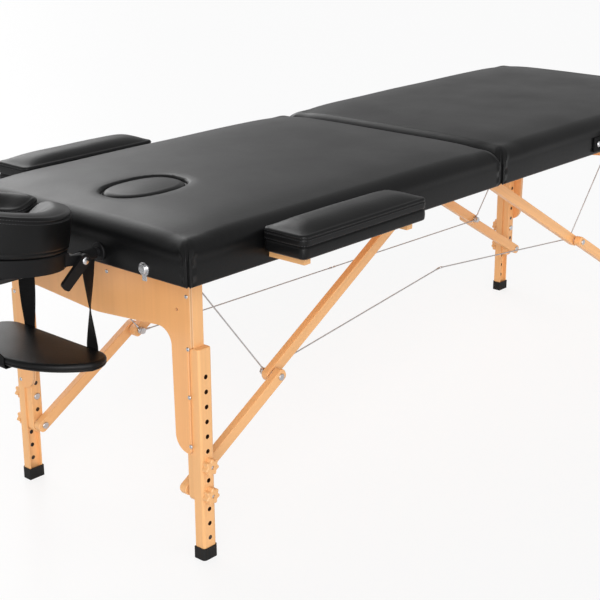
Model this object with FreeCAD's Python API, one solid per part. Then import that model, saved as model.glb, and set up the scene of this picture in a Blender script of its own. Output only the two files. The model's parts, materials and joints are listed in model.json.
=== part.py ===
import FreeCAD
import Part
import math
import os

Vec = FreeCAD.Vector

# Folding wooden massage table in two sections, with its face cradle, arm shelf and side armrests.
# X runs along the table, head end at minus X. Y runs across, the near side at minus Y. Z is up from the floor.
# Every piece is drawn with the middle hinge at X = 0 and moved at the end to the centre of the whole outline.

# Table sections, millimetres
half_length = 925.0          # middle joint to the outer end of one section
table_width = 630.0
table_height = 642.0         # floor to the crown of the upholstery
foam_thickness = 38.0
deck_thickness = 4.0
rail_height = 44.0
rail_thickness = 16.0
hinge_rail_thickness = 30.0
cover_thickness = 2.0        # vinyl band round the rails
section_gap = 4.0            # open joint between the two sections
overshoot = 1.0              # a cut goes past the wood by this much
section_corner_radius = 26.0
cushion_edge_radius = 26.0
cushion_crown = 4.0
cushion_seam_round = 3.0     # drawn in where the cover passes the deck's edge

# Face opening and its plug
face_hole_inset = 187.0      # outer end to the opening's centre
face_hole_half_length = 90.0
face_hole_half_width = 63.0
plug_clearance = 0.8
plug_rim_width = 7.0
plug_rim_height = 6.0
plug_rim_round = 3.5

# Middle hinges
hinge_offset = 200.0         # hinge centre from the table's centre line
hinge_width = 60.0
hinge_plate = 2.0
hinge_leaf_length = 30.0
knuckle_radius = 3.0
hinge_pin_radius = 1.5
hinge_running_gap = 0.05
knuckle_side_gap = 0.3

# Leg frames, which swing on a steel rod inside each section
leg_inset = 58.0             # outer end to the front of the end panel
foot_leg_inset = 78.0
nest_offset = 36.0           # the foot end's legs stand this much further in, so that the pairs pass when folding
panel_thickness = 9.0
post_depth = 25.0            # along X
post_width = 26.0            # along Y
post_bottom = 109.0
post_corner_round = 14.0     # at the bottom, on the panel's side
post_edge_round = 2.0
pivot_above_underside = 24.0
pivot_rod_radius = 5.0
collar_radius = 9.0
collar_length = 6.0
running_gap = 0.05
side_gap = 0.3               # between faces that pass each other

# Adjustable outer legs
outer_leg_depth = 32.0       # along X
outer_leg_width = 22.0       # along Y
outer_leg_face = 268.0       # centre line to the outer face at the head end
outer_leg_top = 416.0
groove_depth = 8.0
hole_radius = 4.3
hole_pitch = 29.0
hole_count = 11
upper_knob_hole = 6          # holes above the upper knob
knob_holes_apart = 2
upper_knob_height = 188.0
leg_edge_round = 5.0
foot_height = 24.0
foot_wall = 2.0
foot_sole = 4.0

# Leg bolts and star knobs
bolt_radius = 4.0
bolt_head_radius = 7.0
bolt_head_height = 3.0
bolt_end_recess = 2.0
knob_thickness = 12.0
knob_mean_radius = 14.6
knob_lobe_rise = 1.9         # lobes stand out and hollows stand in by this much
knob_lobes = 7
knob_points_per_lobe = 8
knob_edge_round = 1.5

# End panels
panel_top_gap = 3.0          # below the rails
panel_arch_crown = 446.0     # height of the arch's corners
panel_arch_dip = 16.0        # fall of the arch towards its middle
panel_foot_height = 211.0
panel_waist = 49.0           # width of the panel's leg under the arch
panel_toe = 45.0             # width that the panel's leg would have at its foot without the curve
panel_arch_radius = 32.0
panel_dip_radius = 260.0
panel_toe_radius = 32.0      # curve of the inner edge towards the foot
panel_tip_radius = 5.0
panel_corner_radius = 4.0
panel_leg_gap = 2.0          # over the top of the outer leg
panel_hole_radius = 3.0
panel_hole_drop = 72.0       # below the rails
panel_hole_in = 32.0         # from the panel's edge

# Folding struts
strut_width = 24.0
strut_thickness = 17.0
strut_end = 15.0             # wood beyond a pivot
strut_end_round = 10.0
strut_rod_inset = 55.5       # middle joint to the foot end's strut rod
strut_edge_round = 2.0
washer_gap = 5.0             # between post and lower strut, and between the struts
washer_radius = 8.0
nut_height = 4.0
nut_radius = 7.0
nut_sides = 6

# Wire ropes with pressed eyes
cable_radius = 1.5
eye_radius = 7.0
eye_thickness = 3.0
eye_gap = 0.3
eye_pitch = 4.2              # between two eyes on one bolt
ferrule_radius = 2.2
ferrule_length = 14.0
near_cable_lift = 65.0       # set in the near rope's middle, where it folds
crimp_length = 10.0
crimp_gap = 1.2

# Face cradle
cradle_drop = 64.0           # upholstery's crown to the tubes' centre
tube_radius = 8.0
tube_wall = 1.5
tube_offset = 90.0           # centre line to a tube; also the radius of the tube's bend
tube_inside = 60.0
tube_front_reach = 295.0     # outer end of the table to the front of the bend
socket_flange_radius = 17.0
socket_flange = 5.0
socket_wall = 3.0
socket_length = 30.0
socket_gap = 0.08
cradle_pivot_reach = 53.0    # outer end of the table to the tilt rod
cradle_rod_radius = 4.0
cradle_tilt = 8.0            # front of the cradle up, as it is set
cradle_ring_reach = 175.0    # outer end of the table to the middle of the face ring
ring_mean_radius = 102.0
ring_half_width = 36.0
ring_height = 68.0
ring_gap_half_angle = 40.3
ring_top_round = 18.0
ring_foot_round = 7.0
ring_crown = 5.0
platform_radius = 136.0
platform_wall = 3.0
platform_top = 4.0
platform_depth = 30.0
platform_edge_round = 3.0
platform_hole_radius = 62.0
platform_slot_half_width = 28.0
platform_rod_clearance = 3.0
platform_tube_room = 2.0
ear_thickness = 6.0
ear_length = 60.0
ear_height = 18.0
ear_gap = 3.0
lever_length = 62.0
lever_width = 24.0
lever_thickness = 7.0
lever_angle = 40.0           # below the level
lever_tip_width = 20.0
lever_gap = 1.5              # outside the ear

# Hanging arm shelf
shelf_gap = 35.0             # outer end of the table to the shelf's straight edge
shelf_half_width = 168.0
shelf_depth = 165.0
shelf_shoulder = 32.0        # straight edge to the widest line
shelf_corner_radius = 26.0
shelf_top = 392.0
shelf_thickness = 26.0
shelf_edge_round = 10.0
strap_width = 30.0
strap_thickness = 2.0
strap_gap = 0.3
strap_twist_top = 545.0
strap_twist_bottom = 425.0
near_strap_turn = 270.0      # the near strap hangs with a full twist in it
far_strap_turn = 90.0
strap_turn_step = 15.0
strap_front_half_spread = 60.0
strap_tube_angle = 30.0      # round the tube's bend from its front

# Side armrests
armrest_length = 367.0
armrest_width = 98.0
armrest_thickness = 44.0
armrest_inset = 350.0        # outer end to the pad's centre
armrest_gap = 4.0
armrest_below_top = 14.0
armrest_corner_radius = 20.0
armrest_edge_round = 12.0
armrest_crown = 3.0
armrest_seam_share = 0.45    # height of the seam between the two layers
armrest_seam_round = 3.0
bar_size = 16.0
bar_spacing = 290.0
bar_inside = 11.0            # past the rail's inner face
bar_short = 18.0             # ends this far inside the pad's outer edge
bar_play = 0.3

# Case latch and carry handle
latch_offset = 208.0
latch_above_underside = 14.0
latch_radius = 12.5
latch_plate = 3.0
latch_dome = 5.0
latch_dome_radius = 9.0
latch_tongue_length = 21.0
latch_tongue_width = 9.0
latch_spindle_radius = 3.0
latch_spindle_length = 12.0
handle_length = 180.0
handle_plate_length = 38.0
handle_height = 34.0
handle_rise = 24.0
handle_thickness = 4.0
handle_bend_radius = 14.0

# Worked out from the driving dimensions
face_hole_centre = half_length - face_hole_inset
armrest_centre = half_length - armrest_inset
handle_centre = half_length / 2
strut_reach = half_length - foot_leg_inset - panel_thickness - post_depth / 2 - strut_rod_inset
half_width = table_width / 2
deck_top = table_height - foam_thickness
deck_bottom = deck_top - deck_thickness
underside = deck_bottom - rail_height
rail_inner = half_width - cover_thickness - rail_thickness
pivot_height = underside + pivot_above_underside
hinge_axis_height = underside - knuckle_radius
lower_knob_height = upper_knob_height - knob_holes_apart * hole_pitch
strut_drop = pivot_height - lower_knob_height
strut_span = math.hypot(strut_reach, strut_drop)
lower_strut_length = (strut_span - strut_reach + strut_drop) / 2
upper_strut_length = (strut_span + strut_reach - strut_drop) / 2
strut_angle = math.degrees(math.atan2(strut_drop, strut_reach))
tube_height = table_height - cradle_drop
armrest_top = table_height - armrest_below_top
armrest_bottom = armrest_top - armrest_thickness
platform_level = tube_height + ear_height
platform_bottom = platform_level - platform_depth
cradle_pivot = half_length + cradle_pivot_reach
cradle_centre = half_length + cradle_ring_reach


class Section:
    """One half of the table: which way it points along X, and where its legs and struts run across Y."""

    def __init__(self, name, end, inset, inward):
        self.name = name
        self.end = end
        self.pivot = half_length - inset - panel_thickness - post_depth / 2
        self.rod = self.pivot - strut_reach
        self.leg_outer = outer_leg_face - inward
        self.leg_inner = self.leg_outer - outer_leg_width
        self.post_outer = self.leg_outer - outer_leg_width + groove_depth - side_gap
        self.post_inner = self.post_outer - post_width
        self.lower_outer = self.post_inner - washer_gap
        self.lower_inner = self.lower_outer - strut_thickness
        self.upper_outer = self.lower_inner - washer_gap
        self.upper_inner = self.upper_outer - strut_thickness
        self.end_eye = self.upper_inner - side_gap - max(eye_thickness / 2, ferrule_radius)
        self.cross_eye = self.end_eye - eye_pitch
        self.elbow = self.pivot - lower_strut_length * math.cos(math.radians(strut_angle))
        self.elbow_height = lower_knob_height + lower_strut_length * math.sin(math.radians(strut_angle))

    def x(self, distance):
        """X of a point that lies this far from the middle joint."""
        return self.end * distance


head = Section("head", -1, leg_inset, 0.0)
foot = Section("foot", 1, foot_leg_inset, nest_offset)
sections = (head, foot)
sides = (("near", -1), ("far", 1))


def box(x0, x1, y0, y1, z0, z1):
    """Block between two opposite corners, given in any order."""
    low = Vec(min(x0, x1), min(y0, y1), min(z0, z1))
    return Part.makeBox(abs(x1 - x0), abs(y1 - y0), abs(z1 - z0), low)


def rod(radius, start, end):
    """Round bar from one point to another."""
    axis = end - start
    return Part.makeCylinder(radius, axis.Length, start, axis)


def cross_rod(radius, x, z, y0, y1):
    """Round bar along Y."""
    return rod(radius, Vec(x, y0, z), Vec(x, y1, z))


def rounded_face(points, radii):
    """Flat face through the corner points, each corner rounded to its own radius."""
    edges = []
    count = len(points)
    starts = []
    for i in range(count):
        corner = points[i]
        back = (points[i - 1] - corner).normalize()
        ahead = (points[(i + 1) % count] - corner).normalize()
        half = back.getAngle(ahead) / 2
        run = radii[i] / math.tan(half)
        middle = (back + ahead).normalize()
        summit = corner + middle * (radii[i] / math.sin(half) - radii[i])
        starts.append((corner + back * run, summit, corner + ahead * run))
    for i in range(count):
        first, summit, last = starts[i]
        following = starts[(i + 1) % count][0]
        if radii[i] > 0:
            edges.append(Part.Arc(first, summit, last).toShape())
        if (following - last).Length > 1e-6:
            edges.append(Part.LineSegment(last, following).toShape())
    return Part.Face(Part.Wire(edges))


def rounded_block(x0, x1, y0, y1, z0, z1, radius):
    """Block whose four upright edges are rounded."""
    corners = [Vec(x0, y0, z0), Vec(x1, y0, z0), Vec(x1, y1, z0), Vec(x0, y1, z0)]
    return rounded_face(corners, [radius] * 4).extrude(Vec(0, 0, z1 - z0))


def oval(centre, half_long, half_wide, z0, z1):
    """Upright oval block, long axis along X."""
    curve = Part.Ellipse(Vec(centre, 0, z0), half_long, half_wide)
    return Part.Face(Part.Wire(curve.toShape())).extrude(Vec(0, 0, z1 - z0))


def crowned(shape, y0, y1, z0, z1, crown):
    """Cuts the top of a block to a shallow arch across Y that falls by the crown at both sides."""
    bounds = shape.BoundBox
    x0 = bounds.XMin - overshoot
    length = bounds.XLength + 2 * overshoot
    reach = (y1 - y0) / 2
    rise = crown * 2
    middle = (y0 + y1) / 2
    edge = z1 - crown * 4
    left = Vec(x0, middle - reach * 2, edge)
    right = Vec(x0, middle + reach * 2, edge)
    top = Vec(x0, middle, z1)
    arch = Part.Arc(left, top, right).toShape()
    low_left = Vec(x0, left.y, z0 - rise)
    low_right = Vec(x0, right.y, z0 - rise)
    outline = Part.Wire([
        arch,
        Part.LineSegment(right, low_right).toShape(),
        Part.LineSegment(low_right, low_left).toShape(),
        Part.LineSegment(low_left, left).toShape(),
    ])
    return shape.common(Part.Face(outline).extrude(Vec(length, 0, 0)))


def edges_above(shape, height):
    """Edges that lie wholly above a height."""
    return [edge for edge in shape.Edges if edge.BoundBox.ZMin > height]


def edges_below(shape, height):
    """Edges that lie wholly below a height."""
    return [edge for edge in shape.Edges if edge.BoundBox.ZMax < height]


def both_sides(make):
    """The near and the far copy of a piece, as two solids in one shape."""
    return Part.makeCompound([make(side) for name, side in sides])


def section_block(section, inset, z0, z1):
    """Plan of one section, drawn in by an inset, between two heights."""
    inner = section.x(section_gap / 2 + inset)
    outer = section.x(half_length - inset)
    reach = half_width - inset
    return rounded_block(min(inner, outer), max(inner, outer), -reach, reach, z0, z1, section_corner_radius - inset)


# Upholstered sections: foam and cover on a thin deck, on a frame of rails with a vinyl band round it
def cushion(section):
    block = section_block(section, 0, deck_top, table_height)
    block = crowned(block, -half_width, half_width, deck_top, table_height, cushion_crown)
    block = block.makeFillet(cushion_edge_radius, edges_above(block, deck_top + foam_thickness / 2))
    block = block.makeFillet(cushion_seam_round, edges_below(block, deck_top + overshoot))
    if section is head:
        hole_x = section.x(face_hole_centre)
        block = block.cut(oval(hole_x, face_hole_half_length, face_hole_half_width, deck_bottom,
                               table_height + overshoot))
    return block


def deck(section):
    board = section_block(section, cover_thickness, deck_bottom, deck_top)
    if section is head:
        hole_x = section.x(face_hole_centre)
        board = board.cut(oval(hole_x, face_hole_half_length, face_hole_half_width, underside, table_height))
    return board


def bar_holes():
    """Square ways for the armrests' bars, right through the rails and the band on both sides."""
    ways = []
    for x in bar_places():
        half = bar_size / 2 + bar_play
        low = armrest_bottom - bar_size - bar_play
        ways.append(box(x - half, x + half, -half_width - overshoot, half_width + overshoot, low,
                        armrest_bottom + bar_play))
    return ways


def end_holes():
    """Ways through the head end for the cradle's sockets."""
    radius = tube_radius + socket_gap + socket_wall + side_gap
    start = -half_length - overshoot
    stop = -half_length + socket_length
    return [rod(radius, Vec(start, side * tube_offset, tube_height), Vec(stop, side * tube_offset, tube_height))
            for name, side in sides]


def latch_hole():
    start = Vec(-half_length - overshoot, -latch_offset, underside + latch_above_underside)
    stop = Vec(-half_length + latch_spindle_length + side_gap, start.y, start.z)
    return rod(latch_spindle_radius + running_gap, start, stop)


def side_band(section):
    outside = section_block(section, 0, underside, deck_top)
    band = outside.cut(section_block(section, cover_thickness, underside - overshoot, deck_top + overshoot))
    if section is head:
        for way in bar_holes() + end_holes() + [latch_hole()]:
            band = band.cut(way)
    return band


def side_rails(section):
    inside = section_block(section, cover_thickness, underside, deck_bottom)

    def rail(side):
        start = section.x(section_gap / 2 + cover_thickness)
        stop = section.x(half_length - cover_thickness)
        wood = box(start, stop, side * rail_inner, side * (half_width - cover_thickness), underside, deck_bottom)
        wood = wood.common(inside)
        if section is head:
            for way in bar_holes():
                wood = wood.cut(way)
        return wood

    return both_sides(rail)


def cross_rails(section):
    outer = half_length - cover_thickness
    end_rail = box(section.x(outer), section.x(outer - rail_thickness), -rail_inner, rail_inner, underside, deck_bottom)
    inner = section_gap / 2 + cover_thickness
    hinge_rail = box(section.x(inner), section.x(inner + hinge_rail_thickness), -rail_inner, rail_inner,
                     underside, deck_bottom)
    inside = section_block(section, cover_thickness, underside, deck_bottom)
    end_rail = end_rail.common(inside)
    hinge_rail = hinge_rail.common(inside)
    if section is head:
        for way in end_holes() + [latch_hole()]:
            end_rail = end_rail.cut(way)
    return Part.makeCompound([end_rail, hinge_rail])


def collared_rod(x, z, inner, outer):
    """Rod from rail to rail with a collar each side of the wood that turns on it, near and far."""
    bar = cross_rod(pivot_rod_radius, x, z, -rail_inner, rail_inner)
    for name, side in sides:
        bar = bar.fuse(cross_rod(collar_radius, x, z, side * (outer + side_gap), side * (outer + side_gap + collar_length)))
        bar = bar.fuse(cross_rod(collar_radius, x, z, side * (inner - side_gap), side * (inner - side_gap - collar_length)))
    return bar.removeSplitter()


def pivot_rods(section):
    leg_rod = collared_rod(section.x(section.pivot), pivot_height, section.post_inner, section.post_outer)
    strut_rod = collared_rod(section.x(section.rod), pivot_height, section.upper_inner, section.upper_outer)
    return Part.makeCompound([leg_rod, strut_rod])


def hinge_knuckles(section, centre):
    """Leaf under the hinge rail: the head's has the two outer knuckles, the foot's the middle one."""
    third = hinge_width / 3
    clear = knuckle_radius + knuckle_side_gap
    low = underside - hinge_plate
    start = section.x(clear)
    stop = section.x(section_gap / 2 + cover_thickness + hinge_leaf_length)
    leaf = box(start, stop, centre - hinge_width / 2, centre + hinge_width / 2, low, underside)
    spans = [(-hinge_width / 2, -third / 2), (third / 2, hinge_width / 2)]
    if section is foot:
        spans = [(-third / 2 + knuckle_side_gap, third / 2 - knuckle_side_gap)]
    for y0, y1 in spans:
        leaf = leaf.fuse(cross_rod(knuckle_radius, 0, hinge_axis_height, centre + y0, centre + y1))
        leaf = leaf.fuse(box(0, start, centre + y0, centre + y1, low, underside))
    bore = cross_rod(hinge_pin_radius + hinge_running_gap, 0, hinge_axis_height, centre - hinge_width, centre + hinge_width)
    return leaf.cut(bore).removeSplitter()


def hinge_leaves(section):
    shapes = [hinge_knuckles(section, side * hinge_offset) for name, side in sides]
    if section is head:
        for name, side in sides:
            centre = side * hinge_offset
            shapes.append(cross_rod(hinge_pin_radius, 0, hinge_axis_height, centre - hinge_width / 2, centre + hinge_width / 2))
    return Part.makeCompound(shapes)


def face_plug():
    """Oval plug with a rim that rests on the cushion round the face opening."""
    centre = head.x(face_hole_centre)
    body = oval(centre, face_hole_half_length - plug_clearance, face_hole_half_width - plug_clearance,
                deck_bottom, table_height + side_gap)
    rim = oval(centre, face_hole_half_length + plug_rim_width, face_hole_half_width + plug_rim_width,
               table_height + side_gap, table_height + side_gap + plug_rim_height)
    rim = rim.makeFillet(plug_rim_round, edges_above(rim, table_height + plug_rim_height / 2))
    return body.fuse(rim).removeSplitter()


# Leg frames: two posts behind a plywood end panel, with grooved outer legs bolted outside them
def eased(bar, radius):
    """Rounds the long edges of a bar that was drawn as a profile and carried along Y."""
    flat = [edge for edge in bar.Edges if edge.BoundBox.YLength < radius]
    return bar.makeFillet(radius, flat)


def leg_posts(section):
    x = section.x(section.pivot)
    half = post_depth / 2

    def post(side):
        y0 = side * section.post_inner
        y1 = side * section.post_outer
        outer_x = x + section.end * half
        inner_x = x - section.end * half
        top = pivot_height + half
        corners = [Vec(inner_x, y0, post_bottom), Vec(outer_x, y0, post_bottom), Vec(outer_x, y0, top),
                   Vec(inner_x, y0, top)]
        wood = rounded_face(corners, [0.0, post_corner_round, half, half]).extrude(Vec(0, y1 - y0, 0))
        wood = eased(wood, post_edge_round)
        past = side * overshoot
        wood = wood.cut(cross_rod(pivot_rod_radius + running_gap, x, pivot_height, y0 - past, y1 + past))
        for z in (upper_knob_height, lower_knob_height):
            wood = wood.cut(cross_rod(bolt_radius + running_gap, x, z, y0 - past, y1 + past))
        return wood

    return both_sides(post)


def end_panel(section):
    """Plywood panel, cut back beside the outer legs, with an arch that dips a little and two tapered legs."""
    edge = section.post_outer
    x = section.x(section.pivot + post_depth / 2)
    top = underside - panel_top_gap
    waist = edge - panel_waist
    toe = edge - panel_toe
    dip = panel_arch_crown - panel_arch_dip
    beside_leg = section.leg_inner - side_gap
    over_leg = outer_leg_top + panel_leg_gap
    right = [(edge, top, panel_corner_radius), (edge, over_leg, 0.0), (beside_leg, over_leg, 0.0),
             (beside_leg, panel_foot_height, panel_tip_radius), (toe, panel_foot_height, panel_toe_radius),
             (waist, panel_arch_crown, panel_arch_radius)]
    left = [(-y, z, radius) for y, z, radius in reversed(right)]
    outline = right + [(0.0, dip, panel_dip_radius)] + left
    points = [Vec(x, y, z) for y, z, radius in outline]
    panel = rounded_face(points, [radius for y, z, radius in outline])
    panel = panel.extrude(Vec(section.end * panel_thickness, 0, 0))
    for name, side in sides:
        y = side * (edge - panel_hole_in)
        z = underside - panel_hole_drop
        start = Vec(x - section.end * overshoot, y, z)
        stop = Vec(x + section.end * (panel_thickness + overshoot), y, z)
        panel = panel.cut(rod(panel_hole_radius, start, stop))
    return panel


def leg_bolts(section):
    """Two bolts a leg, each out through the outer leg into its knob; the lower one also carries the brace."""
    x = section.x(section.pivot)
    tip = section.leg_outer + side_gap + knob_thickness - bolt_end_recess
    bolts = []
    for name, side in sides:
        upper = headed_bolt(x, upper_knob_height, side * section.post_inner, side * tip)
        lower = headed_bolt(x, lower_knob_height, side * (section.lower_inner - side_gap), side * tip)
        lower = lower.fuse(cross_rod(washer_radius, x, lower_knob_height, side * (section.lower_outer + side_gap),
                                     side * section.post_inner))
        bolts.append(upper)
        bolts.append(lower.removeSplitter())
    return Part.makeCompound(bolts)


def headed_bolt(x, z, seat, tip):
    """Bolt along Y from the seat of its low round head to its tip."""
    away = 1 if tip > seat else -1
    shank = cross_rod(bolt_radius, x, z, seat, tip)
    top = seat - away * bolt_head_height
    cap = cross_rod(bolt_head_radius, x, z, top, seat)
    cap = cap.makeFillet(bolt_head_height / 2, [edge_nearest(cap, top)])
    return shank.fuse(cap).removeSplitter()


def edge_nearest(shape, y):
    """The closed edge of a round bar along Y that lies at a given Y."""
    closed = [edge for edge in shape.Edges if edge.isClosed()]
    return min(closed, key=lambda edge: abs(edge.BoundBox.Center.y - y))


def leg_block(section, side, wall, z0, z1):
    """Upright block on an outer leg's plan, grown by a wall, with the edges of its outer face rounded."""
    x = section.x(section.pivot)
    half = outer_leg_depth / 2 + wall
    outer = side * (section.leg_outer + wall)
    inner = side * (section.leg_inner - wall)
    corners = [Vec(x - half, inner, z0), Vec(x + half, inner, z0), Vec(x + half, outer, z0), Vec(x - half, outer, z0)]
    round_edge = leg_edge_round + wall
    return rounded_face(corners, [0.0, 0.0, round_edge, round_edge]).extrude(Vec(0, 0, z1 - z0))


def outer_leg(section, side):
    """Leg with a groove down its inner face for the post and a row of holes for the knobs' bolts."""
    x = section.x(section.pivot)
    outer = side * section.leg_outer
    inner = side * section.leg_inner
    wood = leg_block(section, side, 0.0, foot_sole, outer_leg_top)
    wood = wood.makeFillet(leg_edge_round / 2, edges_above(wood, outer_leg_top - overshoot))
    half = post_depth / 2 + side_gap
    wood = wood.cut(box(x - half, x + half, inner - side * overshoot, inner + side * groove_depth,
                        foot_sole - overshoot, outer_leg_top + overshoot))
    for i in range(hole_count):
        z = upper_knob_height + (upper_knob_hole - i) * hole_pitch
        wood = wood.cut(cross_rod(hole_radius, x, z, inner - side * overshoot, outer + side * overshoot))
    return wood


def rubber_foot(section, side):
    """Cup of rubber pressed over the end of an outer leg."""
    cup = leg_block(section, side, foot_wall, 0.0, foot_height)
    return cup.cut(leg_block(section, side, 0.0, foot_sole, foot_height + overshoot))


def star_knob_form():
    """Turned wooden star knob standing out along Y: its radius rises and falls once for each lobe."""
    points = []
    for i in range(knob_lobes * knob_points_per_lobe):
        turn = 2 * math.pi * i / (knob_lobes * knob_points_per_lobe)
        radius = knob_mean_radius + knob_lobe_rise * math.cos(knob_lobes * turn)
        points.append(Vec(radius * math.sin(turn), 0, radius * math.cos(turn)))
    curve = Part.BSplineCurve()
    curve.interpolate(points, PeriodicFlag=True)
    knob = Part.Face(Part.Wire(curve.toShape())).extrude(Vec(0, knob_thickness, 0))
    knob = knob.makeChamfer(knob_edge_round, [edge_nearest(knob, knob_thickness)])
    return knob.cut(cross_rod(bolt_radius + running_gap, 0, 0, -overshoot, knob_thickness + overshoot))


def star_knob(section, side, z):
    """Knob on the end of a leg bolt, just clear of the outer leg."""
    knob = star_knob_form()
    if side < 0:
        knob.rotate(Vec(0, 0, 0), Vec(0, 0, 1), 180)
    knob.translate(Vec(section.x(section.pivot), side * (section.leg_outer + side_gap), z))
    return knob


# Folding struts: the two bars of a brace lie in line when the leg stands, and lie on each other when it folds
def strut(start, end, y0, y1, start_hole, end_hole):
    """Bar between two pivots in one upright plane; start and end are (x, z)."""
    first = Vec(start[0], y0, start[1])
    last = Vec(end[0], y0, end[1])
    along = (last - first).normalize()
    across = Vec(-along.z, 0, along.x) * (strut_width / 2)
    ends = (first - along * strut_end, last + along * strut_end)
    corners = [ends[0] - across, ends[1] - across, ends[1] + across, ends[0] + across]
    bar = rounded_face(corners, [strut_end_round] * 4).extrude(Vec(0, y1 - y0, 0))
    bar = eased(bar, strut_edge_round)
    past = math.copysign(overshoot, y1 - y0)
    for (x, z), radius in ((start, start_hole), (end, end_hole)):
        bar = bar.cut(cross_rod(radius, x, z, y0 - past, y1 + past))
    return bar


def elbow_point(section):
    return (section.x(section.elbow), section.elbow_height)


def upper_struts(section):
    rod_point = (section.x(section.rod), pivot_height)
    return both_sides(lambda side: strut(rod_point, elbow_point(section), side * section.upper_inner,
                                         side * section.upper_outer, pivot_rod_radius + running_gap,
                                         bolt_radius + running_gap))


def lower_struts(section):
    leg_point = (section.x(section.pivot), lower_knob_height)
    return both_sides(lambda side: strut(elbow_point(section), leg_point, side * section.lower_inner,
                                         side * section.lower_outer, bolt_radius + running_gap,
                                         bolt_radius + running_gap))


def elbow_bolts(section):
    """Outer half of each elbow bolt, in the lower bar: the head outside it and half the washer inside it."""
    x, z = elbow_point(section)
    half_washer = (washer_gap - side_gap) / 2
    bolts = []
    for name, side in sides:
        bolt = headed_bolt(x, z, side * section.lower_outer, side * section.lower_inner)
        washer = cross_rod(washer_radius, x, z, side * section.lower_inner, side * (section.lower_inner - half_washer))
        bolts.append(bolt.fuse(washer).removeSplitter())
    return Part.makeCompound(bolts)


def elbow_pins(section):
    """Inner half of each elbow bolt, in the upper bar: half the washer, the shank through the eyes, and the nut."""
    x, z = elbow_point(section)
    half_washer = (washer_gap - side_gap) / 2
    nut_face = section.cross_eye - eye_thickness / 2 - eye_gap
    pins = []
    for name, side in sides:
        pin = cross_rod(bolt_radius, x, z, side * section.upper_outer, side * (nut_face - nut_height))
        pin = pin.fuse(cross_rod(washer_radius, x, z, side * section.upper_outer,
                                 side * (section.upper_outer + half_washer)))
        corners = []
        for i in range(nut_sides):
            turn = 2 * math.pi * i / nut_sides
            corners.append(Vec(x + nut_radius * math.cos(turn), side * nut_face, z + nut_radius * math.sin(turn)))
        nut = Part.Face(Part.makePolygon(corners + corners[:1])).extrude(Vec(0, -side * nut_height, 0))
        pins.append(pin.fuse(nut).removeSplitter())
    return Part.makeCompound(pins)


# Wire ropes: one from each elbow to the leg's rod, and one along each side from elbow to elbow
def eye(x, y, z, bore):
    ring = cross_rod(eye_radius + bore - bolt_radius, x, z, y - eye_thickness / 2, y + eye_thickness / 2)
    return ring.cut(cross_rod(bore + eye_gap, x, z, y - eye_thickness, y + eye_thickness))


def rope(start, end, start_bore, end_bore):
    """Straight rope between two points, with a pressed eye and ferrule where a bore is given."""
    along = (end - start).normalize()
    first = start + along * (start_bore + eye_gap + cable_radius if start_bore else crimp_gap / 2)
    last = end - along * (end_bore + eye_gap + cable_radius if end_bore else crimp_gap / 2)
    line = rod(cable_radius, first, last)
    for place, inward, bore in ((start, along, start_bore), (end, -along, end_bore)):
        if bore:
            root = place + inward * (eye_radius + bore - bolt_radius + eye_gap)
            line = line.fuse(eye(place.x, place.y, place.z, bore))
            line = line.fuse(rod(ferrule_radius, root, root + inward * ferrule_length))
        else:
            tip = place + inward * (crimp_gap / 2)
            line = line.fuse(rod(ferrule_radius, tip, tip + inward * crimp_length))
    return line.removeSplitter()


def cables(section):
    ropes = []
    elbow_x, elbow_z = elbow_point(section)
    for name, side in sides:
        rod_end = Vec(section.x(section.pivot), side * section.end_eye, pivot_height)
        elbow_end = Vec(elbow_x, side * section.end_eye, elbow_z)
        ropes.append(rope(rod_end, elbow_end, pivot_rod_radius, bolt_radius))
        lift = near_cable_lift if name == "near" else 0.0
        middle_y = side * (head.cross_eye + foot.cross_eye) / 2
        middle = Vec(0, middle_y, (head.elbow_height + foot.elbow_height) / 2 + lift)
        ropes.append(rope(Vec(elbow_x, side * section.cross_eye, elbow_z), middle, bolt_radius, 0))
    return Part.makeCompound(ropes)


# Face cradle: a bent tube that plugs into the head end, a tilting platform and a padded ring
def headrest_sockets():
    def socket(side):
        y = side * tube_offset
        sleeve_radius = tube_radius + socket_gap + socket_wall
        face = Vec(-half_length, y, tube_height)
        bush = rod(socket_flange_radius, face, face - Vec(socket_flange, 0, 0))
        bush = bush.makeFillet(socket_flange / 2, [min(bush.Edges, key=lambda edge: edge.BoundBox.Center.x)])
        bush = bush.fuse(rod(sleeve_radius, face, face + Vec(socket_length, 0, 0)))
        way = rod(tube_radius + socket_gap, face - Vec(socket_flange + overshoot, 0, 0),
                  face + Vec(socket_length + overshoot, 0, 0))
        return bush.cut(way)

    return both_sides(socket)


def headrest_tube(radius):
    """Bar along the U of the cradle's frame: in through one socket, round the front and back through the other."""
    back = -half_length + tube_inside
    front = -half_length - tube_front_reach
    bend = front + tube_offset
    y = tube_offset
    z = tube_height
    path = Part.Wire([
        Part.LineSegment(Vec(back, -y, z), Vec(bend, -y, z)).toShape(),
        Part.Arc(Vec(bend, -y, z), Vec(bend - y * math.sqrt(0.5), -y * math.sqrt(0.5), z), Vec(front, 0, z)).toShape(),
        Part.Arc(Vec(front, 0, z), Vec(bend - y * math.sqrt(0.5), y * math.sqrt(0.5), z), Vec(bend, y, z)).toShape(),
        Part.LineSegment(Vec(bend, y, z), Vec(back, y, z)).toShape(),
    ])
    profile = Part.Wire(Part.Circle(Vec(back, -y, z), Vec(1, 0, 0), radius).toShape())
    return path.makePipeShell([profile], True, True)


def lever_face():
    """Centre line to the inner face of the clamp lever."""
    return tube_offset + tube_radius + ear_gap + ear_thickness + lever_gap


def headrest_frame():
    """Bent tube with the tilt rod welded across it; the rod carries the cradle's ears and the clamp lever."""
    tube = headrest_tube(tube_radius).cut(headrest_tube(tube_radius - tube_wall))
    far_end = tube_offset + tube_radius + ear_gap + ear_thickness + side_gap
    near_end = lever_face() + lever_thickness
    bar = cross_rod(cradle_rod_radius, -cradle_pivot, tube_height, -near_end, far_end)
    return tube.fuse(bar).removeSplitter()


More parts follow.
